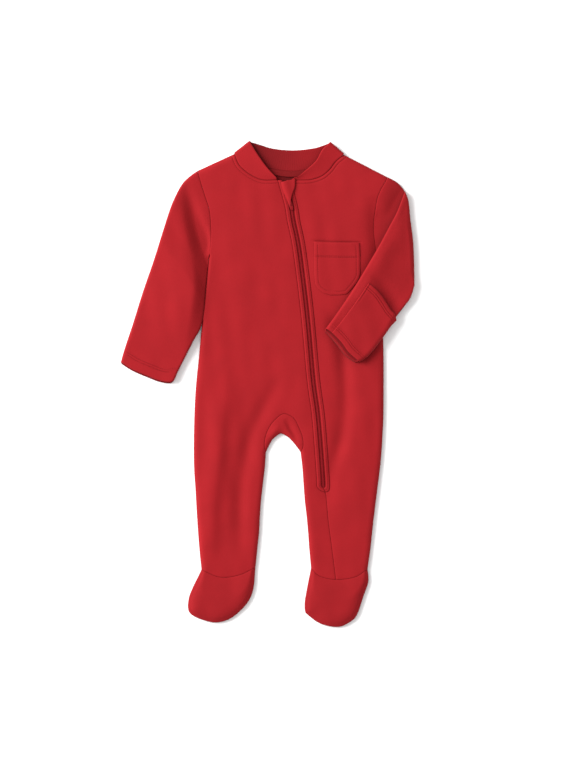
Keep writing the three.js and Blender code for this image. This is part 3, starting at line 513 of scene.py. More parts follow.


# Painted crease shade: how far it reaches, how dark it gets at its deepest, and its samples.
CREASE_SHADE = Sizes(reach=0.022, least=0.63, samples=8)
KNIT = Sizes(column=0.9, row=0.75, lean=1.1, leg=0.35, rib=2.2)
KNIT_SURFACE = {
    "Sheen Weight": 0.06, "Sheen Roughness": 0.45, "Sheen Tint": (1.0, 0.3, 0.28, 1.0),
    "Specular IOR Level": 0.12,
}
TWILL = Sizes(slant=0.8, warp=0.4)


def knit(name, color, rib=0.0, depth=1.0, with_painted_shade=False):
    """Fine interlock: columns of V-shaped stitches, a little uneven, with a soft bloom."""
    n = Nodes(name)
    across, down = n.across_and_down()
    columns = n.math("SUBTRACT", n.math("FRACT", n.math("DIVIDE", across, KNIT.column)), 0.5)
    lean = n.times(n.math("ABSOLUTE", columns), KNIT.lean)
    legs = n.wave(n.plus(n.math("DIVIDE", down, KNIT.row), lean), 1)
    stitch = n.plus(n.times(legs, KNIT.leg), n.wave(columns, 1, "COSINE"))
    ribs = n.times(n.wave(across, KNIT.rib), rib)
    wide, fuzz = n.noise(45.0, 3.0), n.noise(2200.0, 2.0)
    height = n.plus(stitch, ribs, n.times(fuzz, 1.6))
    # Every knit gets the painted crease shade.
    tone = n.painted_crease_shade(n.plus(n.times(wide, 0.16), n.times(stitch, 0.035), n.times(fuzz, 0.10), 0.87))
    # Painted shade: each point's tone attribute darkens the cloth.
    if with_painted_shade:
        tone = n.times(tone, n.add("ShaderNodeAttribute", attribute_name="tone").outputs["Fac"])
    rough = n.plus(n.times(fuzz, 0.15), 0.72)
    return n.finish(color, tone, height, 0.35 * depth, 0.00012, {"Roughness": rough, **KNIT_SURFACE})


def woven(name, color):
    """Narrow twill tape."""
    n = Nodes(name)
    across, down = n.across_and_down()
    warp = n.times(n.wave(across, TWILL.warp), 0.5)
    height = n.plus(n.wave(n.plus(across, down), TWILL.slant), warp)
    tone = n.plus(n.times(height, 0.06), 1.0)
    return n.finish(color, tone, height, 0.5, 0.00012, {"Roughness": 0.75, "Specular IOR Level": 0.12})


def hard(name, color, roughness):
    """Moulded plastic or painted metal with fine wear."""
    n = Nodes(name)
    grain = n.noise(900.0, 4.0)
    tone = n.plus(n.times(grain, 0.2), 0.9)
    rough = n.plus(n.times(grain, 0.2), roughness - 0.1)
    return n.finish(color, tone, grain, 0.15, 0.0001, {"Roughness": rough, "Specular IOR Level": 0.1})


RED = (0.268, 0.0065, 0.0098, 1)
SHADE_RED = tuple(0.93 * level for level in RED)
red_knit = knit("red_knit", RED)
# The knit with painted shade from each point's tone attribute, for the back and the sleeves.
shade_painted_knit = knit("shade_painted_knit", RED, with_painted_shade=True)
# The ribbed knit with painted shade on the neckband's inside.
band_knit = knit("band_knit", RED, rib=0.6, with_painted_shade=True)
foot_knit = knit("foot_knit", SHADE_RED)
thread = knit("red_thread", (0.17, 0.0045, 0.006, 1), depth=0.4)
tape_weave = woven("neck_tape_weave", (0.16, 0.004, 0.0055, 1))
zip_weave = woven("zip_tape_weave", (0.22, 0.0055, 0.008, 1))
teeth_plastic = hard("zip_plastic", (0.21, 0.0055, 0.009, 1), 0.7)
slider_paint = hard("slider_paint", (0.18, 0.0045, 0.007, 1), 0.5)


# Meshes

MESH = Sizes(rows_in=(0.3, 0.8, 1.6, 2.8, 4.4), rows_beside=(-1.3, -0.65, 0, 0.65, 1.3), row=0.866)


def piece(name, points, faces, cloth_uv, finish, nodes=(), slot="cloth"):
    mesh = bpy.data.meshes.new(name)
    mesh.from_pydata([tuple(p) for p in np.asarray(points) * MM], [], [tuple(f) for f in faces])
    mesh.validate()
    layer = mesh.uv_layers.new(name="cloth")
    corner = np.zeros(len(mesh.loops), np.int32)
    mesh.loops.foreach_get("vertex_index", corner)
    layer.data.foreach_set("uv", np.asarray(cloth_uv, np.float32)[corner].ravel())
    mesh.polygons.foreach_set("use_smooth", [True] * len(mesh.polygons))
    mesh.materials.append(finish)
    obj = bpy.data.objects.new(name, mesh)
    bpy.context.scene.collection.objects.link(obj)
    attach(obj, "root")
    if nodes:
        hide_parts(*nodes)
    return obj


def lay(obj, size, area, held, rests_on):
    """Takes a piece of cloth and what shows of its cut, and returns the piece as it is."""
    return obj


def plan_mesh(outline, step, features=()):
    """Triangles over a closed outline, finer along its edge and along features."""
    edge = outline if plan_area(outline) > 0 else outline[::-1]
    edge = edge + normals(edge, closed=True) * JOIN
    loop = np.vstack([edge, edge[:1]])
    parts = [edge]
    for inset in MESH.rows_in:
        row = edge + normals(edge, closed=True) * inset
        parts.append(row[inside(row, edge) & (distance(row, loop) > 0.9 * inset)])
    for line in features:
        for aside in MESH.rows_beside:
            row = beside(line, aside)
            parts.append(row[inside(row, edge) & (distance(row, loop) > 0.4)])
    low, high = edge.min(0), edge.max(0)
    rows = np.arange(low[1], high[1], step * MESH.row)
    columns = np.arange(low[0], high[0], step)
    grid = np.array([(x + step / 2 * (i % 2), y) for i, y in enumerate(rows) for x in columns])
    grid = grid[inside(grid, edge)]
    grid = grid[distance(grid, loop) > MESH.rows_in[-1] + step * 0.6]
    if features:
        grid = grid[distance(grid, *features) > MESH.rows_beside[-1] + step * 0.4]
    points = np.vstack([*parts, grid])
    border = [(i, (i + 1) % len(edge)) for i in range(len(edge))]
    made = delaunay_2d_cdt([Vector(p) for p in points], border, [], 1, 1e-5, False)
    plan, triangles = np.array([tuple(p) for p in made[0]]), np.array([tuple(f) for f in made[2]])
    triangles = triangles[inside(plan[triangles].mean(1), edge)]
    return plan, [tuple(int(i) for i in f) for f in triangles]


def sheet_piece(name, outline, faces_at, rests_on, step=2.6, features=(), finish=None, size=None, **rest):
    """A closed layer of cloth over an outline, given its upper and lower height."""
    plan, triangles = plan_mesh(outline, step, features)
    upper, lower = faces_at(plan)
    count = len(plan)
    points = np.vstack([np.column_stack([plan, upper]), np.column_stack([plan, lower])])
    faces = list(triangles) + [tuple(i + count for i in reversed(f)) for f in triangles]
    edges = {(a, b) for f in triangles for a, b in zip(f, f[1:] + f[:1])}
    for a, b in edges:
        if (b, a) not in edges:
            faces.append((b, a, a + count, b + count))
    obj = piece(name, points, faces, np.vstack([plan, plan]), finish or red_knit, **rest)
    return lay(obj, size or np.ptp(outline, axis=0), abs(plan_area(outline)), "laid", rests_on)


def cut_of(grid, wraps):
    """Width and length of a grid of points laid out flat, and its area."""
    closed = np.concatenate([grid, grid[:, :1]], axis=1) if wraps else grid
    across, down = np.diff(closed, axis=1), np.diff(closed, axis=0)
    area = np.linalg.norm(np.cross(across[:-1], down[:, :-1]), axis=-1).sum()
    width = np.linalg.norm(across, axis=-1).sum(1).max()
    return [width, np.linalg.norm(down, axis=-1).sum(0).max()], area


def grid_piece(name, outer, inner, finish, wraps=False, uv=None, held=None, rests_on=(), **rest):
    """One closed body between two grids of points; wraps joins the last column to the first."""
    count = outer.shape[0] * outer.shape[1]
    index = np.arange(count).reshape(outer.shape[:2])
    if wraps:
        index = np.hstack([index, index[:, :1]])
    rims = [index[0], index[-1, ::-1]] + ([] if wraps else [index[::-1, 0], index[:, -1]])
    corners = [part.ravel() for part in (index[:-1, :-1], index[1:, :-1], index[1:, 1:], index[:-1, 1:])]
    faces = [np.stack(corners, 1), np.stack(corners[:1] + corners[:0:-1], 1) + count]
    for rim in rims:
        faces.append(np.stack([rim[:-1], rim[1:], rim[1:] + count, rim[:-1] + count], 1))
    faces = np.vstack(faces)
    points = np.vstack([outer.reshape(-1, 3), inner.reshape(-1, 3)])
    if uv is None:
        uv = outer[..., :2]
    obj = piece(name, points, faces, np.tile(uv.reshape(-1, 2), (2, 1)), finish, **rest)
    if signed_volume(points, faces) < 0:
        obj.data.flip_normals()
    if held:
        lay(obj, *cut_of(outer, wraps), held, rests_on)
    return obj


def paint_shade(obj, tone):
    """Painted shade: how light each point's cloth is made, for the insides and the parts that lie in shade.
    """
    obj.data.attributes.new("tone", "FLOAT", "POINT").data.foreach_set("value", tone)


def signed_volume(points, quads):
    a, b, c, d = (points[quads[:, k]] for k in range(4))
    return ((a * np.cross(b, c)).sum() + (a * np.cross(c, d)).sum()) / 6


# Body

def front_right():
    outline = chain(*lines("neck_r zip_r low_seam -ankle_l_in -inner_l -gusset inner_r -ankle_r -side_r "
                           "-armhole_r -shoulder_r"))
    sheet_piece("front_right_cloth", outline, front_faces(front_top), ["back_cloth"],
                features=NECK_STITCH[:1], nodes=["front_right"])


def front_left():
    outline = chain(*lines("neck_l shoulder_l armhole_l side_l -ankle_l_out -low_seam -zip_l"))
    sheet_piece("front_left_cloth", outline, front_faces(front_top), ["back_cloth"],
                features=[NECK_STITCH[1], POCKET_MOUTH], nodes=["front_left"])


# Painted shade on the back's inside, under the neck's opening.
NECK_HOLLOW_SHADE = Sizes(middle=(24, 246), wide=14.0, darker=0.55)


def back():
    outline = chain(*lines("neck_back shoulder_l armhole_l side_l -ankle_l -inner_l -crotch inner_r "
                           "-ankle_r -side_r -armhole_r -shoulder_r"))
    obj = sheet_piece("back_cloth", outline, back_faces(*BODY_RIM), ["floor"], step=3.2, finish=shade_painted_knit,
                      nodes=["back"])
    # Painted shade, darkest at the middle of the neck's opening.
    spots = np.array([v.co[:2] for v in obj.data.vertices]) / MM
    away = np.hypot(*(spots - NECK_HOLLOW_SHADE.middle).T)
    paint_shade(obj, 1 - NECK_HOLLOW_SHADE.darker * groove(away, 0, NECK_HOLLOW_SHADE.wide))


def gusset():
    sheet_piece("gusset_cloth", chain(*lines("gusset -crotch")), front_faces(gusset_top), ["back_cloth"],
                step=1.6, nodes=["gusset"])


def foot(side):
    outline, ankle = lines(f"foot_{side[0]} ankle_{side[0]}")
    whole = chain(outline, ankle[::-1])

    def upper(p):
        away = distance(p, outline)
        full = SIDE_Z + (FOOT_Z - SIDE_Z) * rounded(away, FOOT.rim)
        near = np.clip(distance(p, ankle) / FOOT.instep, 0, 1)
        level = np.minimum(full, FRONT_Z + (FOOT_Z - FRONT_Z) * near)
        sole_seam = FOOT.seam_deep * groove(away, FOOT.seam_at, FOOT.seam_wide)
        return np.maximum(level + ripple(p) - seam_drop(p, [ankle]) - sole_seam, SIDE_Z + LEAST_RISE)

    sheet_piece(f"foot_{side}_upper_cloth", whole, front_faces(upper), [f"foot_{side}_sole_cloth"],
                step=2.2, finish=foot_knit, nodes=[f"foot_{side}_upper"])
    sheet_piece(f"foot_{side}_sole_cloth", whole, back_faces(outline), ["floor"],
                step=3.0, finish=foot_knit, nodes=[f"foot_{side}_sole"])


# Sleeves

def plan_of(*sides):
    """A patch between its top, bottom, left and right curves, by shares across and down."""
    top, bottom, left, right = (along(line) for line in sides)
    ends = [line(np.array([0.0, 1.0])) for line in (top, bottom)]

    def plan(u, v):
        u, v = np.broadcast_arrays(np.asarray(u, float), np.asarray(v, float))
        across, down = np.clip(u, 0, 1), np.clip(v, 0, 1)
        start, end = left(down), right(down)
        s, t = across[..., None], down[..., None]
        corners = mix(*(mix(first, last, s) for first, last in ends), t)
        flat = mix(top(across), bottom(across), t) + mix(start, end, s) - corners
        return flat + (end - start) * (u[..., None] - s)

    return plan


def ring(width, tall, grow):
    """Flattened tubes' sections: distance from the over edge and height off the middle."""
    width, radius = width[:, None], tall[:, None] / 2
    reach = radius + grow
    share = np.linspace(0, 1, TUBE.flats)[None]
    turn = np.linspace(0, math.pi, TUBE.bends + 2)[None, 1:-1]
    flat, out = radius + (width - 2 * radius) * share, reach * np.sin(turn)
    level = reach + 0 * share
    d = np.hstack([flat, width - radius + out, flat[:, ::-1], radius - out])
    return d, np.hstack([level, reach * np.cos(turn), -level, -reach * np.cos(turn)])


def tube_points(v, width, tall, place, grow):
    """Rings of a tube: place takes shares across and down and heights, all as grids."""
    d, h = ring(width, tall, grow)
    down = np.repeat(v[:, None], d.shape[1], axis=1)
    flat = place((d / width[:, None]).ravel(), down.ravel(), h.ravel())
    return flat.reshape(*d.shape, 3)


def tube_piece(name, parts, tone=None, **rest):
    """A sleeve from parts, each with its shares down, widths, heights and placing function.

    Returns its outer points, in rings from armhole to cuff.
    """
    outer, inner = (np.vstack([tube_points(*part, grow) for part in parts]) for grow in (0, -CLOTH))
    across, down = run_along(outer[len(outer) // 2]), run_along(outer[:, TUBE.flats // 2])
    uv = np.stack(np.meshgrid(across, down), axis=-1)
    obj = grid_piece(name, outer, inner, shade_painted_knit, wraps=True, uv=uv, **rest)
    # Painted shade: the tone given to the outside, darker still on the inside.
    if tone is None:
        tone = np.ones(len(outer))
    outside = np.repeat(tone, outer.shape[1])
    paint_shade(obj, np.concatenate([outside, SLEEVE_INSIDE_SHADE * outside]))
    return outer


def widths(plan, v):
    return np.linalg.norm(plan(1.0, v) - plan(0.0, v), axis=-1)


def cuff_stations(length, count, hem):
    """Shares down a sleeve, close together round its hem stitches and its end."""
    deep = hem.deep
    plain, stitched = np.arange(6, deep - 5, 1.4), np.arange(deep - 4.8, deep + 0.6, 0.45)
    from_end = np.concatenate([AT_END, plain, stitched, [deep + 1.6, deep + 3.6]])
    even = np.linspace(0, 1 - (deep + 5.6) / length, count)
    return np.concatenate([even, 1 - from_end[::-1] / length])


def hem_shape(from_end, hem):
    """Extra height near a hemmed end: double cloth, and a groove at each row of stitches."""
    double = HEM.double * step_down(from_end, hem.deep, HEM.soft)
    rows = HEM.row * sum(groove(from_end, at) for at in hem.rows)
    return double - rows - HEM.edge * (1 - rounded(from_end, HEM.edge_radius))


def moved(points, aside):
    return [(x + aside, y) for x, y in points]


# The sleeve by the side
SLEEVE_R_FOLDS = fold_lines([
    ([(-106, 262), (-104, 215), (-97, 175), (-90, 138), (-90, 110), (-94, 84), (-103, 30)], 11, 48, 5.8),
    ([(-104, 250), (-90, 206), (-76, 174), (-66, 150), (-62, 120), (-66, 84), (-82, 30)], 7, 13, -5.8),
])
CUFF_LINE_R = spline(SLEEVE_R.cuff)


def sleeve_right_plan():
    armhole, under = (moved(points, -SLEEVE_JOIN) for points in (CURVES["armhole_r"], SLEEVE_R.under))
    cuff = SLEEVE_R.cuff
    return plan_of(armhole, cuff, armhole[:1] + SLEEVE_R.over[1:], under[:-1] + cuff[-1:])


PLAN_R = sleeve_right_plan()


def place_right(u, v, h):
    p = PLAN_R(u, v)
    upper, lower = share_of(h, 0, FRONT_Z / 2 - CLOTH), share_of(-h, 0, FRONT_Z / 2)
    end, seam = distance(p, CUFF_LINE_R), distance(p, LINES["armhole_r"])
    full = share_of(end, 0, SLEEVE_R.folds_from_end) * share_of(seam, 0, SLEEVE_R.folds_from_seam)
    folds = relief(p, SLEEVE_R_FOLDS) * full + ripple(p)
    rise = folds - seam_drop(p, lines("armhole_r")) + hem_shape(end, HEM_R)
    rise = np.maximum(rise, LEAST_TUBE - FRONT_Z) * upper
    out = SLEEVE_R.under_out * lower * np.exp(-end / SLEEVE_R.out_for)
    lift = MITTEN_LIFT * share_of(v, *MITTEN.lifts)
    return np.column_stack([p + np.array(SLEEVE_R.towards) * out[:, None], FRONT_Z / 2 + lift + h + rise])


def sleeve_right():
    v = np.concatenate([[0, 0.002, 0.006], cuff_stations(SLEEVE_R.length, 60, HEM_R)[1:]])
    part = (v, widths(PLAN_R, v), np.full(len(v), FRONT_Z), place_right)
    return tube_piece("sleeve_right_cloth", [part], nodes=["sleeve_right"], held="laid",
                      rests_on=["floor", "mitten_right_cloth"])


# The folded sleeve: upper arm, turn and forearm
CUFF_LINE_L = spline(SLEEVE_L.cuff)
UPPER_ARM_FOLDS = fold_lines([
    ([(178, 243), (168, 219), (158, 200), (146, 180), (127, 146)], 9, 17, -5.4),
])
# Painted shade on the upper arm, under the folded forearm.
UPPER_ARM_SHADE = 0.88
FOREARM_FOLDS = fold_lines([
    ([(166, 205), (155, 182), (136, 148), (116, 114), (98, 88)], 13, 8, 2.4),
    ([(173, 210), (172, 170), (173, 125)], 4, 5, 0.7),
    ([(122, 138), (136, 119), (148, 101), (158, 86), (166, 76)], 9, 7, -2.4),
])


def fold_full(share):
    """How round the fold is: pinched flat at the sleeve's two edges."""
    near = share_of(np.minimum(share, 1 - share), 0, FOLD.pinched_for)
    return mix(FOLD.pinched, 1, near * near * (3 - 2 * near))


def fold_centre():
    """The fold line moved in from the outline to the middle of the turn, and its outward side."""
    shares = np.linspace(0, 1, 41)
    points = along(SLEEVE_L.fold)(shares)
    full, out = fold_full(shares)[:, None], normals(points)
    return shares, points - out * (FOLD.radius + FOLD.tall / 2) * full, out


FOLD_SHARES, FOLD_MIDDLE, FOLD_OUT = fold_centre()
FOLD_LINE = FOLD_MIDDLE.tolist()


def upper_arm_plan():
    armhole = moved(CURVES["armhole_l"], SLEEVE_JOIN)
    over = armhole[:1] + SLEEVE_L.upper_over[1:] + FOLD_LINE[:1]
    return plan_of(armhole, FOLD_LINE, over, armhole[-1:] + SLEEVE_L.upper_under[1:] + FOLD_LINE[-1:])


PLAN_UPPER = upper_arm_plan()
PLAN_FORE = plan_of(FOLD_LINE, SLEEVE_L.cuff, FOLD_LINE[:1] + SLEEVE_L.fore_over,
                    FOLD_LINE[-1:] + SLEEVE_L.fore_under)


def upper_arm_tall(v):
    return mix(FRONT_Z, FOLD.tall, v)


def place_upper_arm(u, v, h):
    p = PLAN_UPPER(u, v)
    tall = upper_arm_tall(v)
    upper = np.clip(h / (tall / 2 - CLOTH), 0, 1)
    from_seam = share_of(distance(p, LINES["armhole_l"]), 0, SLEEVE_L.folds_from_seam)
    folds = relief(p, UPPER_ARM_FOLDS) * from_seam + relief(p, BODY_RELIEF[-1:])
    rise = folds + ripple(p) * (1 - np.asarray(v)) - seam_drop(p, lines("armhole_l"))
    return np.column_stack([p, tall / 2 + h + np.maximum(rise, LEAST_TUBE - tall) * upper])


def place_turn(u, angle, h):
    s = np.clip(u, 0, 1)
    reach = (FOLD.radius - h) * np.sin(angle) * fold_full(s)
    x, y = (np.interp(s, FOLD_SHARES, FOLD_MIDDLE[:, k]) + np.interp(s, FOLD_SHARES, FOLD_OUT[:, k]) * reach
            for k in (0, 1))
    low = FOLD.tall / 2 + FOLD.radius
    return np.column_stack([x, y, low - (FOLD.radius - h) * np.cos(angle)])


def forearm_rest(v):
    rows = np.array(FOREARM_REST)
    return [np.interp(v, rows[:, 0], rows[:, k]) for k in (1, 2, 3)]


def place_forearm(u, v, h):
    p = PLAN_FORE(u, v)
    low_over, low_under, tall = forearm_rest(v)
    s = np.clip(u, 0, 1)
    upper = np.clip(-h / (tall / 2 - CLOTH), 0, 1)
    lower = np.clip(h / (tall / 2), 0, 1)
    end = distance(p, CUFF_LINE_L)
    folds = (relief(p, FOREARM_FOLDS) + ripple(p)) * share_of(end, 0, SLEEVE_L.folds_from_end)
    rise = folds + hem_shape(end, HEM_L)
    at_edges, between = SLEEVE_L.under_out
    out = (at_edges + between * s * (1 - s)) * lower * np.exp(-end / SLEEVE_L.out_for)
    z = mix(low_over, low_under, s) + tall / 2 - h + rise * upper
    return np.column_stack([p + np.array(SLEEVE_L.towards) * out[:, None], z])


def sleeve_left():
    upper = np.concatenate([[0, 0.01, 0.025, 0.045], np.linspace(0.07, 1, 16)])
    turn = np.linspace(0, math.pi, 11)[1:-1]
    fore = cuff_stations(SLEEVE_L.length, 44, HEM_L)
    fold_length = run_along(FOLD_MIDDLE)[-1]
    parts = [
        (upper, widths(PLAN_UPPER, upper), upper_arm_tall(upper), place_upper_arm),
        (turn, np.full(len(turn), fold_length), np.full(len(turn), FOLD.tall), place_turn),
        (fore, widths(PLAN_FORE, fore), forearm_rest(fore)[2], place_forearm),
    ]
    # Painted shade on the upper arm, fading in from the armhole and out again round the turn; none on the
    # forearm.
    shade = 1 - (1 - UPPER_ARM_SHADE) * share_of(upper, 0, 0.2)
    tone = np.concatenate([shade, np.linspace(UPPER_ARM_SHADE, 1, len(turn)), np.ones(len(fore))])
    tube_piece("sleeve_left_cloth", parts, tone, nodes=["sleeve_left"], held="folded",
               rests_on=["floor", "front_left_cloth", "pocket_cloth"])


def flap_shape(grid):
    """Extra height of the flap: its opening lifts, and each row of stitches and edge sinks."""
    plan = grid[..., :2].reshape(-1, 2)
    opening, seam = distance(plan, grid[0, :, :2]), distance(plan, grid[:, 0, :2])
    lift = FLAP.lift * groove(opening, 0, FLAP.lift_down) * share_of(seam, *FLAP.lift_in)
    seam_row = groove(seam, FLAP_ROWS.seam) * (1 - share_of(opening, *FLAP_ROWS.seam_fades))
    rows = seam_row + sum(groove(opening, at) for at in FLAP_ROWS.opening)
    edge = FLAP.edge * (1 - rounded(np.minimum(opening, seam), FLAP.edge_radius))
    return (lift - FLAP.row * rows - edge).reshape(grid.shape[:2])


def mitten(side, plan, tall_at, place, wraps):
    """The sleeve's back face moved out, from the flap's seam to the sleeve's edge.

    Returns the points of its outer face, in rows from opening to cuff.
    """
    across = np.concatenate([[0, 0.008, 0.02, 0.034], np.linspace(0.05, 1, 34)])
    bends = np.linspace(0, math.pi / 2, 7)[1:-1] if wraps else np.array([])
    close = np.concatenate([[0, 0.006, 0.014, 0.024], np.linspace(0.04, 0.16, 24)])
    k = np.concatenate([close, np.linspace(0.16, 0.84, 30)[1:-1], 1 - close[::-1]])[:, None]
    s = mix(mix(MITTEN.seam_at_opening, MITTEN.seam_at_cuff, k), MITTEN.edge, across)
    v = mix(mix(MITTEN.opening_at_seam, MITTEN.opening_at_edge, across), 1, k)
    edge_v = np.repeat(mix(MITTEN.opening_at_edge, 1, k), len(bends), axis=1)
    width, radius = widths(plan, edge_v), tall_at(edge_v) / 2
    flare = MITTEN.flare * groove(k, 0, MITTEN.flare_down)

    def placed(shares, down, heights):
        return place(shares.ravel(), down.ravel(), heights.ravel()).reshape(*shares.shape, 3)

    faces = []
    for grow in (GAP + CLOTH, GAP):
        flat = placed(s, v, -tall_at(v) / 2 - grow)
        d = width - radius + (radius + grow + flare) * np.sin(bends)
        turned = placed(d / np.maximum(width, 1), edge_v, -(radius + grow) * np.cos(bends))
        shape = flap_shape(flat)
        if wraps:
            flat[..., 2] += shape
        elif grow > GAP:
            flat[..., 2] -= np.minimum(shape, 0)
        faces.append(np.concatenate([flat, turned], axis=1))
    grid_piece(f"mitten_{side}_cloth", *faces, red_knit, nodes=[f"mitten_{side}"], held="folded",
               rests_on=[f"sleeve_{side}_cloth"])
    return faces[0][:, :len(across)]


def mitten_left():
    return mitten("left", PLAN_FORE, lambda v: forearm_rest(v)[2], place_forearm, True)


def mitten_right():
    def place(u, v, h):
        return np.column_stack([PLAN_R(u, v), FRONT_Z / 2 + MITTEN_LIFT + h])

    mitten("right", PLAN_R, lambda v: FRONT_Z + 0 * v, place, False)


# Neck
# The last two: painted shade on the back of the band, and the x where each level lies.
BAND = Sizes(
    thick=2.4, radius=1.95, start=1.9, seam_gap=0.05, stands=2.2, edge=0.08,
    edge_radius=1.2, rib_run=20, tones=(0.46, 0.84), tones_at=(-30, 50),
)
TAPE = Sizes(start=0.18, end=0.82, under_band=0.8, shows=6, thick=0.8, gap=0.05)


def band_part(side, seam, count, upward, ends_turned):
    """Rows across the band: its seam and edge points, its middle's height and its outward side."""
    places = []
    for curve in (seam, CURVES["band_" + side]):
        margin = BAND.start / run_along(spline(curve, 0.5))[-1]
        shares = np.clip(np.linspace(0, 1, count), margin, 1 - margin * ends_turned)
        places.append(along(curve)(shares))
    z = BAND.radius * (1 + upward) + BAND.thick / 2
    rows = []
    for first, last in zip(*places):
        gap = BAND.seam_gap / np.linalg.norm(first - last)
        rows.append((mix(first, last, gap), last, z, np.array([0.0, 0, upward])))
    return rows


def band_turn(front, rear, side, count=7):
    """Rows round the top of the shoulder, from the band's front to its back."""
    d = front[1] - front[0]
    out = np.array([-d[1], d[0]]) / np.linalg.norm(d) * side
    rows = []
    for angle in np.linspace(0, math.pi, count + 2)[1:-1]:
        normal = np.array([*(out * math.sin(angle)), math.cos(angle)])
        first, last = (mix(a, b, (1 - math.cos(angle)) / 2) + BAND.radius * normal[:2]
                       for a, b in zip(front[:2], rear[:2]))
        rows.append((first, last, BAND.radius * (1 + normal[2]) + BAND.thick / 2, normal))
    return rows


def neckband():
    right = band_part("r", CURVES["neck_r"], 40, 1, False)[::-1]
    rear = band_part("back", CURVES["neck_back"], 60, -1, True)
    left = band_part("l", CURVES["neck_l"][::-1], 40, 1, False)
    rows = right + band_turn(right[-1], rear[0], 1) + rear
    rows += band_turn(left[0], rear[-1], -1)[::-1] + left
    across = (1 - np.cos(np.linspace(0, math.pi, 17))) / 2
    outer, inner = [], []
    for seam, edge, z, normal in rows:
        from_edge = np.minimum(across, 1 - across) * np.linalg.norm(edge - seam)
        half = BAND.thick / 2 * mix(BAND.edge, 1, rounded(from_edge, BAND.edge_radius))
        middle = np.column_stack([seam + (edge - seam) * across[:, None], z + BAND.stands * across**1.5])
        outer.append(middle + normal * half[:, None])
        inner.append(middle - normal * half[:, None])
    outer = np.array(outer)
    uv = np.stack(np.meshgrid(across * BAND.rib_run, run_along(outer[:, 12])), axis=-1)[..., ::-1]
    obj = grid_piece("neckband_rib", outer, np.array(inner), band_knit, uv=uv, nodes=["neckband"],
                     held="folded", rests_on=["floor", "back_cloth"])
    # Painted shade on the back of the band seen inside the neck, darkest towards the wearer's right; the
    # front parts stay unshaded.
    front = np.array([normal[2] for seam, edge, z, normal in rows]) * 0.5 + 0.5
    inside_painted_shade = np.interp([row[0][0] for row in rows], BAND.tones_at, BAND.tones)
    paint_shade(obj, np.tile(np.repeat(mix(inside_painted_shade, 1, front), len(across)), 2))


def neck_tape():
    line = LINES["neck_back"]
    part = line[int(len(line) * TAPE.start):int(len(line) * TAPE.end)]
    outline = np.vstack([part + [0, TAPE.under_band], (part - [0, TAPE.shows])[::-1]])
    bottom = BAND.thick + TAPE.gap

    def faces_at(p):
        return np.full(len(p), bottom + TAPE.thick), np.full(len(p), bottom)

    sheet_piece("neck_tape_weave", outline, faces_at, ["back_cloth"], step=1.5, finish=tape_weave,
                nodes=["neck_tape"], slot="neck_tape")


# Zip

def zip_top(p):
    return soft_top(p) - SEAM.dip


def zip_binding(side, word):
    def edges(top):
        return [zip_edge(side, reach, end, top)
                for reach, end in ((ZIP.channel, ZIP.channel_end), (ZIP.reach, ZIP.reach_end))]

    inner, outer = edges(NECK - BINDING.from_neck)
    outline = np.vstack([inner, outer[::-1]]) + [side * BINDING.gap, 0]

    def faces_at(p):
        from_edge = rounded(distance(p, *edges(NECK)), BINDING.edge_radius)
        top = zip_top(p) + BINDING.above - BINDING.edge * (1 - from_edge)
        return top, top - BINDING.thick

    sheet_piece(f"zip_binding_{word}_cloth", outline, faces_at, ["zip_tape_weave"], step=1.4,
                nodes=["zip_binding_" + word], size=(ZIP.reach - ZIP.channel, NECK - ZIP.end))


def zip_tape():
    y = np.arange(NECK - ZIP_TAPE.from_neck, ZIP.end - ZIP_TAPE.past_end, -STEP)
    half = ZIP_TAPE.half
    middle = np.column_stack([zip_x(y), y])
    outline = np.vstack([middle - [half, 0], (middle + [half, 0])[::-1]])

    def faces_at(p):
        top = zip_top(p) - ZIP_TAPE.under
        return top, top - ZIP_TAPE.thick

    sheet_piece("zip_tape_weave", outline, faces_at, ["back_cloth"], step=1.5, finish=zip_weave,
                nodes=["zip_tape"], slot="zip_tape", size=(2 * half, NECK - ZIP.end))


# A small rod's rings: share of the way along it, share of its radius
CAPSULE = ((0.0, 0.25), (0.12, 0.8), (0.3, 1.0), (0.7, 1.0), (0.88, 0.8), (1.0, 0.25))


def capsules(starts, ends, radius, sides=6):
    """Small rounded rods from start to end points, all in one mesh."""
    starts, ends = np.vstack(starts), np.vstack(ends)
    d = ends - starts
    d = d / np.linalg.norm(d, axis=1)[:, None]
    side = np.cross(d, [0, 0, 1.0])
    side /= np.linalg.norm(side, axis=1)[:, None]
    lift = np.cross(side, d)
    points = []
    for share, size in CAPSULE:
        for a in np.linspace(0, 2 * math.pi, sides, endpoint=False):
            out = (side * math.cos(a) + lift * math.sin(a)) * radius * size
            points.append(starts + (ends - starts) * share + out)
    per = len(points)
    pattern = [tuple(range(sides))[::-1], tuple(range(per - sides, per))]
    for low in range(0, per - sides, sides):
        for k, after in zip(range(sides), [*range(1, sides), 0]):
            pattern.append((low + k, low + after, low + sides + after, low + sides + k))
    faces = [tuple(i + n * per for i in f) for n in range(len(starts)) for f in pattern]
    return np.array(points).transpose(1, 0, 2).reshape(-1, 3), faces


def zip_teeth():
    y = np.arange(NECK - ZIP_TEETH.from_neck, ZIP.end - ZIP_TEETH.past_end, -ZIP_TEETH.pitch)
    x = zip_x(y)
    slope = np.gradient(x, y)
    z = zip_top(np.column_stack([x, y])) - ZIP_TEETH.under
    starts, ends = [], []
    for side, shift in ((-1, 0.0), (1, ZIP_TEETH.pitch / 2)):
        low, high = side * ZIP_TEETH.half, -side * ZIP_TEETH.tip
        starts.append(np.column_stack([x + low, y - shift - slope * low, z - ZIP_TEETH.slant]))
        ends.append(np.column_stack([x + high, y - shift - slope * high, z]))
    points, faces = capsules(starts, ends, ZIP_TEETH.radius)
    piece("zip_coil_teeth", points, faces, points[:, :2], teeth_plastic, nodes=["zip_coil"],
          slot="zip_teeth")


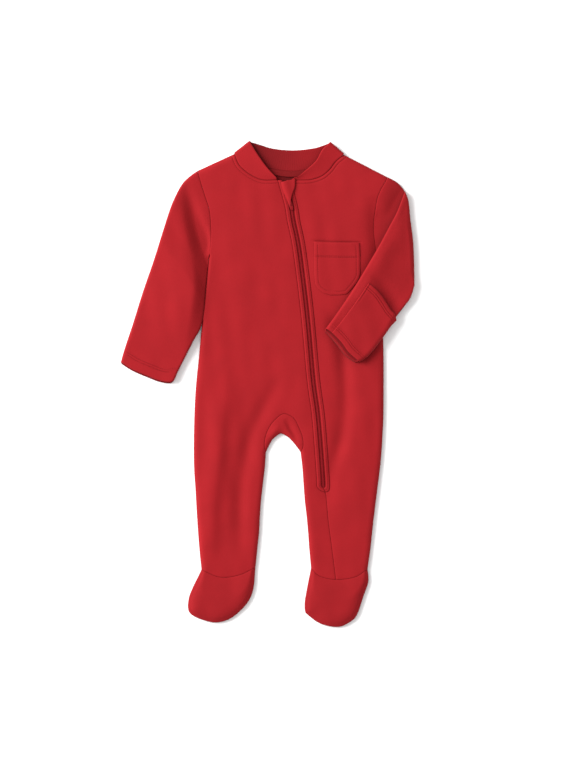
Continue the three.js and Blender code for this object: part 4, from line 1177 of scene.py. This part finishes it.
# Moulded blocks on the zip line: piece, node, from and to y, half width, bottom and top above
# the zip, and shares of the half width at shares of the length.
BLOCKS = (
    ("zip_slider_body", "zip_slider", 219, 208.5, 2.5, -0.1, 1.6,
     [(0, 0.75), (0.2, 1), (0.6, 1), (1, 0.55)]),
    ("zip_pull_tab", "zip_pull", 233, 214.5, 1.8, 1.8, 2.7, [(0, 0.8), (0.3, 1), (0.85, 0.7), (1, 0.5)]),
)
BLOCK_ROUND = Sizes(end_radius=1.2, end=0.3, side_radius=0.7, side=0.15)
SLIDER_Y = 213.5


def zip_slider():
    zip_level = zip_top(np.array([[zip_x(SLIDER_Y), SLIDER_Y]]))[0]
    shares, across = np.linspace(0, 1, 13), np.linspace(-1, 1, 9)
    for name, node, from_y, to_y, half, bottom, top, profile in BLOCKS:
        near_end = rounded(np.minimum(shares, 1 - shares) * abs(to_y - from_y), BLOCK_ROUND.end_radius)
        faces = ([], [])
        for y, w, e in zip(mix(from_y, to_y, shares), half * np.interp(shares, *zip(*profile)), near_end):
            near_side = rounded((1 - np.abs(across)) * w, BLOCK_ROUND.side_radius)
            bulge = mix(BLOCK_ROUND.side, 1, near_side) * mix(BLOCK_ROUND.end, 1, e)
            for face, sign in zip(faces, (1, -1)):
                z = zip_level + (top + bottom) / 2 + sign * bulge * (top - bottom) / 2
                face.append(np.column_stack([zip_x(y) + across * w, np.full(len(across), y), z]))
        grid_piece(name, *map(np.array, faces), slider_paint, nodes=[node], slot="zip_slider")


GARAGE = Sizes(
    crown_grows=4, crown_least=0.35, crown_in=3,
    above=1.9, thick=1.0, crown=1.3, crown_wide=5.5, edge=0.5, edge_radius=1.0,
    turned=0.5, turned_wide=2, shut_level=0.62, shut_deep=1.2, shut_wide=2, shut_down=0.08,
)
GARAGE_MIDDLE = (25.0, 232.0)


def zip_garage():
    left, right = along(GARAGE_LEFT), along(GARAGE_RIGHT)
    down, across = np.linspace(0, 1, 30), np.linspace(0, 1, 19)
    base = zip_top(np.array([GARAGE_MIDDLE]))[0]
    upper, lower = [], []
    for k in down:
        p = mix(left(k), right(k), across[:, None])
        width = np.linalg.norm(right(k) - left(k))
        edge, off = across * width, p[:, 0] - zip_x(p[:, 1])
        full = min(1, (1 - k) * GARAGE.crown_grows + GARAGE.crown_least)
        crown = GARAGE.crown * groove(off, 0, GARAGE.crown_wide) * full
        soften = GARAGE.edge * (1 - rounded(np.minimum(edge, width - edge), GARAGE.edge_radius))
        turned = GARAGE.turned * np.clip(1 - edge / GARAGE.turned_wide, 0, 1)
        z = base + GARAGE.above + crown * share_of(edge, 0, GARAGE.crown_in) - soften - turned
        upper.append(np.column_stack([p, z]))
        z = z - GARAGE.thick * (1 - soften)
        channel = np.exp(-((off / GARAGE.shut_wide) ** 4))
        shut = base + GARAGE.shut_level - GARAGE.shut_deep * channel
        z += (np.minimum(z, shut) - z) * groove(k, 0, GARAGE.shut_down)
        lower.append(np.column_stack([p, z]))
    grid_piece("zip_garage_cloth", np.array(upper), np.array(lower), red_knit, nodes=["zip_garage"],
               held="folded", rests_on=["zip_binding_right_cloth"])


# Pocket

def pocket():
    """Returns its rows of stitches, which lie on its upper face."""
    top_line, left, right = (spline(line) for line in (POCKET.top, POCKET.side_l, POCKET.side_r))
    ends = np.array([POCKET.top[0], POCKET.top[-1]])
    hem_rows = [resample(ends - [0, down], STEP) for down in POCKET.hem_rows]

    def faces_at(p):
        away, sides = distance(p, top_line), distance(p, left, right)
        double = POCKET.double * step_down(away, POCKET.hem, POCKET.hem_soft)
        rows = sum(groove(distance(p, row), 0) for row in hem_rows)
        rows = rows + groove(sides, POCKET.side_row, 0.5) * (away > 1.5)
        edge = POCKET.edge * (1 - rounded(np.minimum(away, sides), POCKET.edge_radius))
        lift = POCKET.lift * groove(away, 0, POCKET.lift_down) * share_of(sides, 0, POCKET.lift_in)
        top = soft_top(p) + POCKET.above + double + lift - POCKET.row * rows - edge
        return top, soft_top(p) + POCKET.under + lift * POCKET.lift_under

    rows = [row[1:-1] for row in hem_rows]
    rows += [beside(left, POCKET.side_row)[2:-2], beside(right, -POCKET.side_row)[2:-2]]
    sheet_piece("pocket_cloth", chain(top_line, right, left[::-1]), faces_at, ["front_left_cloth"],
                step=2.0, features=rows, nodes=["pocket"])
    return [on(lambda p: faces_at(p)[0], line) for line in rows]


# Stitches

def stitches(name, rows):
    """Lock stitches along lines of points in space."""
    starts, ends = [], []
    for line in rows:
        places = run_along(line)
        first = np.arange(STITCH.first, places[-1] - STITCH.pitch, STITCH.pitch)
        for wanted, found in ((first, starts), (first + STITCH.pitch - STITCH.space, ends)):
            found.append(np.stack([np.interp(wanted, places, line[:, k]) for k in range(3)], axis=1))
    points, faces = capsules(starts, ends, STITCH.radius, STITCH.sides)
    piece(name, points, faces, points[:, :2], thread)


def level_line(grid, values, wanted):
    """Where a value that grows or falls down each column of a grid reaches the wanted one."""
    line = []
    for points, level in zip(grid.transpose(1, 0, 2), values.T):
        order = np.argsort(level)
        line.append([np.interp(wanted, level[order], points[order, k]) for k in range(3)])
    return np.array(line)


def grid_distance(grid, line):
    return distance(grid[..., :2].reshape(-1, 2), line).reshape(grid.shape[:2])


def cuff_rows(grid, cuff, hem):
    return [level_line(grid, grid_distance(grid, cuff), wanted) for wanted in hem.rows]


def flap_rows(grid):
    half = len(grid) // 2
    opening, seam = grid_distance(grid, grid[0, :, :2]), grid_distance(grid, grid[:, 0, :2])
    rows = [level_line(grid[:half], opening[:half], wanted)[2:] for wanted in FLAP_ROWS.opening]
    sewn = opening[:, 0] < FLAP_ROWS.seam_ends
    return rows + [level_line(grid[sewn].transpose(1, 0, 2), seam[sewn].T, FLAP_ROWS.seam)]


def on(surface, line):
    return np.column_stack([line, surface(line)])


def zip_rows():
    middle = (ZIP.reach + ZIP.channel) / 2
    rows = [zip_edge(side, middle, middle, NECK - BINDING.stitches_from_neck) for side in (-1, 1)]
    return [on(lambda p: zip_top(p) + BINDING.above, row) for row in rows]


back()
front_right()
front_left()
gusset()
foot("right")
foot("left")
arm_right = sleeve_right()
sleeve_left()
flap_left = mitten_left()
mitten_right()
neckband()
neck_tape()
zip_binding(-1, "right")
zip_binding(1, "left")
zip_tape()
zip_teeth()
zip_slider()
zip_garage()
pocket_rows = pocket()
stitches("neck_stitches", [on(front_top, line) for line in NECK_STITCH])
stitches("zip_stitches", zip_rows())
stitches("cuff_right_stitches", cuff_rows(arm_right[-32:, 1:TUBE.flats - 1], CUFF_LINE_R, HEM_R))
stitches("cuff_left_stitches", cuff_rows(flap_left[-30:], CUFF_LINE_L, HEM_L))
stitches("flap_stitches", flap_rows(flap_left))
stitches("pocket_stitches", pocket_rows)


# Stage

STAGE = Sizes(half=6.0, under=0.0004, world=0.82)
KEY_LIGHT = Sizes(at=(-3.5, 1.45, 2.2), towards=(0.02, 0, 0), size=3.5, power=415)
# The photo's height at 1.2 mm a pixel, and its middle, seen from far enough to look flat.
CAMERA = Sizes(framed=768 * 1.2 * MM, middle=(24.6 * MM, 0.6 * MM), above=5.0, sensor=36)


def floor():
    n = Nodes("pale_floor")
    tone = n.plus(n.times(n.noise(3.0, 2.0), 0.02), 0.95)
    shade = n.add("ShaderNodeCombineColor", {0: tone, 1: tone, 2: tone}).outputs[0]
    inputs = {"Base Color": shade, "Roughness": 0.9, "Specular IOR Level": 0.1}
    shader = n.add("ShaderNodeBsdfPrincipled", inputs)
    n.add("ShaderNodeOutputMaterial", {"Surface": shader.outputs[0]})
    half, z = STAGE.half, -STAGE.under
    mesh = bpy.data.meshes.new("floor")
    corners = [(-half, -half, z), (half, -half, z), (half, half, z), (-half, half, z)]
    mesh.from_pydata(corners, [], [(0, 1, 2, 3)])
    mesh.materials.append(n.material)
    obj = bpy.data.objects.new("floor", mesh)
    bpy.context.scene.collection.objects.link(obj)


def lights():
    world = bpy.data.worlds.new("studio")
    world.use_nodes = True
    background = world.node_tree.nodes["Background"]
    background.inputs[0].default_value = (1, 1, 1, 1)
    background.inputs[1].default_value = STAGE.world
    bpy.context.scene.world = world
    data = bpy.data.lights.new("key", "AREA")
    data.shape, data.size, data.energy = "DISK", KEY_LIGHT.size, KEY_LIGHT.power
    obj = bpy.data.objects.new("key", data)
    obj.location = KEY_LIGHT.at
    obj.rotation_mode = "QUATERNION"
    aim = Vector(KEY_LIGHT.towards) - Vector(KEY_LIGHT.at)
    obj.rotation_quaternion = aim.to_track_quat("-Z", "Y")
    bpy.context.scene.collection.objects.link(obj)


def camera():
    data = bpy.data.cameras.new("camera")
    data.sensor_width = CAMERA.sensor
    data.lens = data.sensor_width * CAMERA.above / CAMERA.framed
    data.clip_start, data.clip_end = 0.05, 40
    obj = bpy.data.objects.new("camera", data)
    obj.location = (*CAMERA.middle, CAMERA.above)
    bpy.context.scene.collection.objects.link(obj)
    bpy.context.scene.camera = obj
    bpy.context.scene.view_settings.view_transform = "Standard"


floor()
lights()
camera()
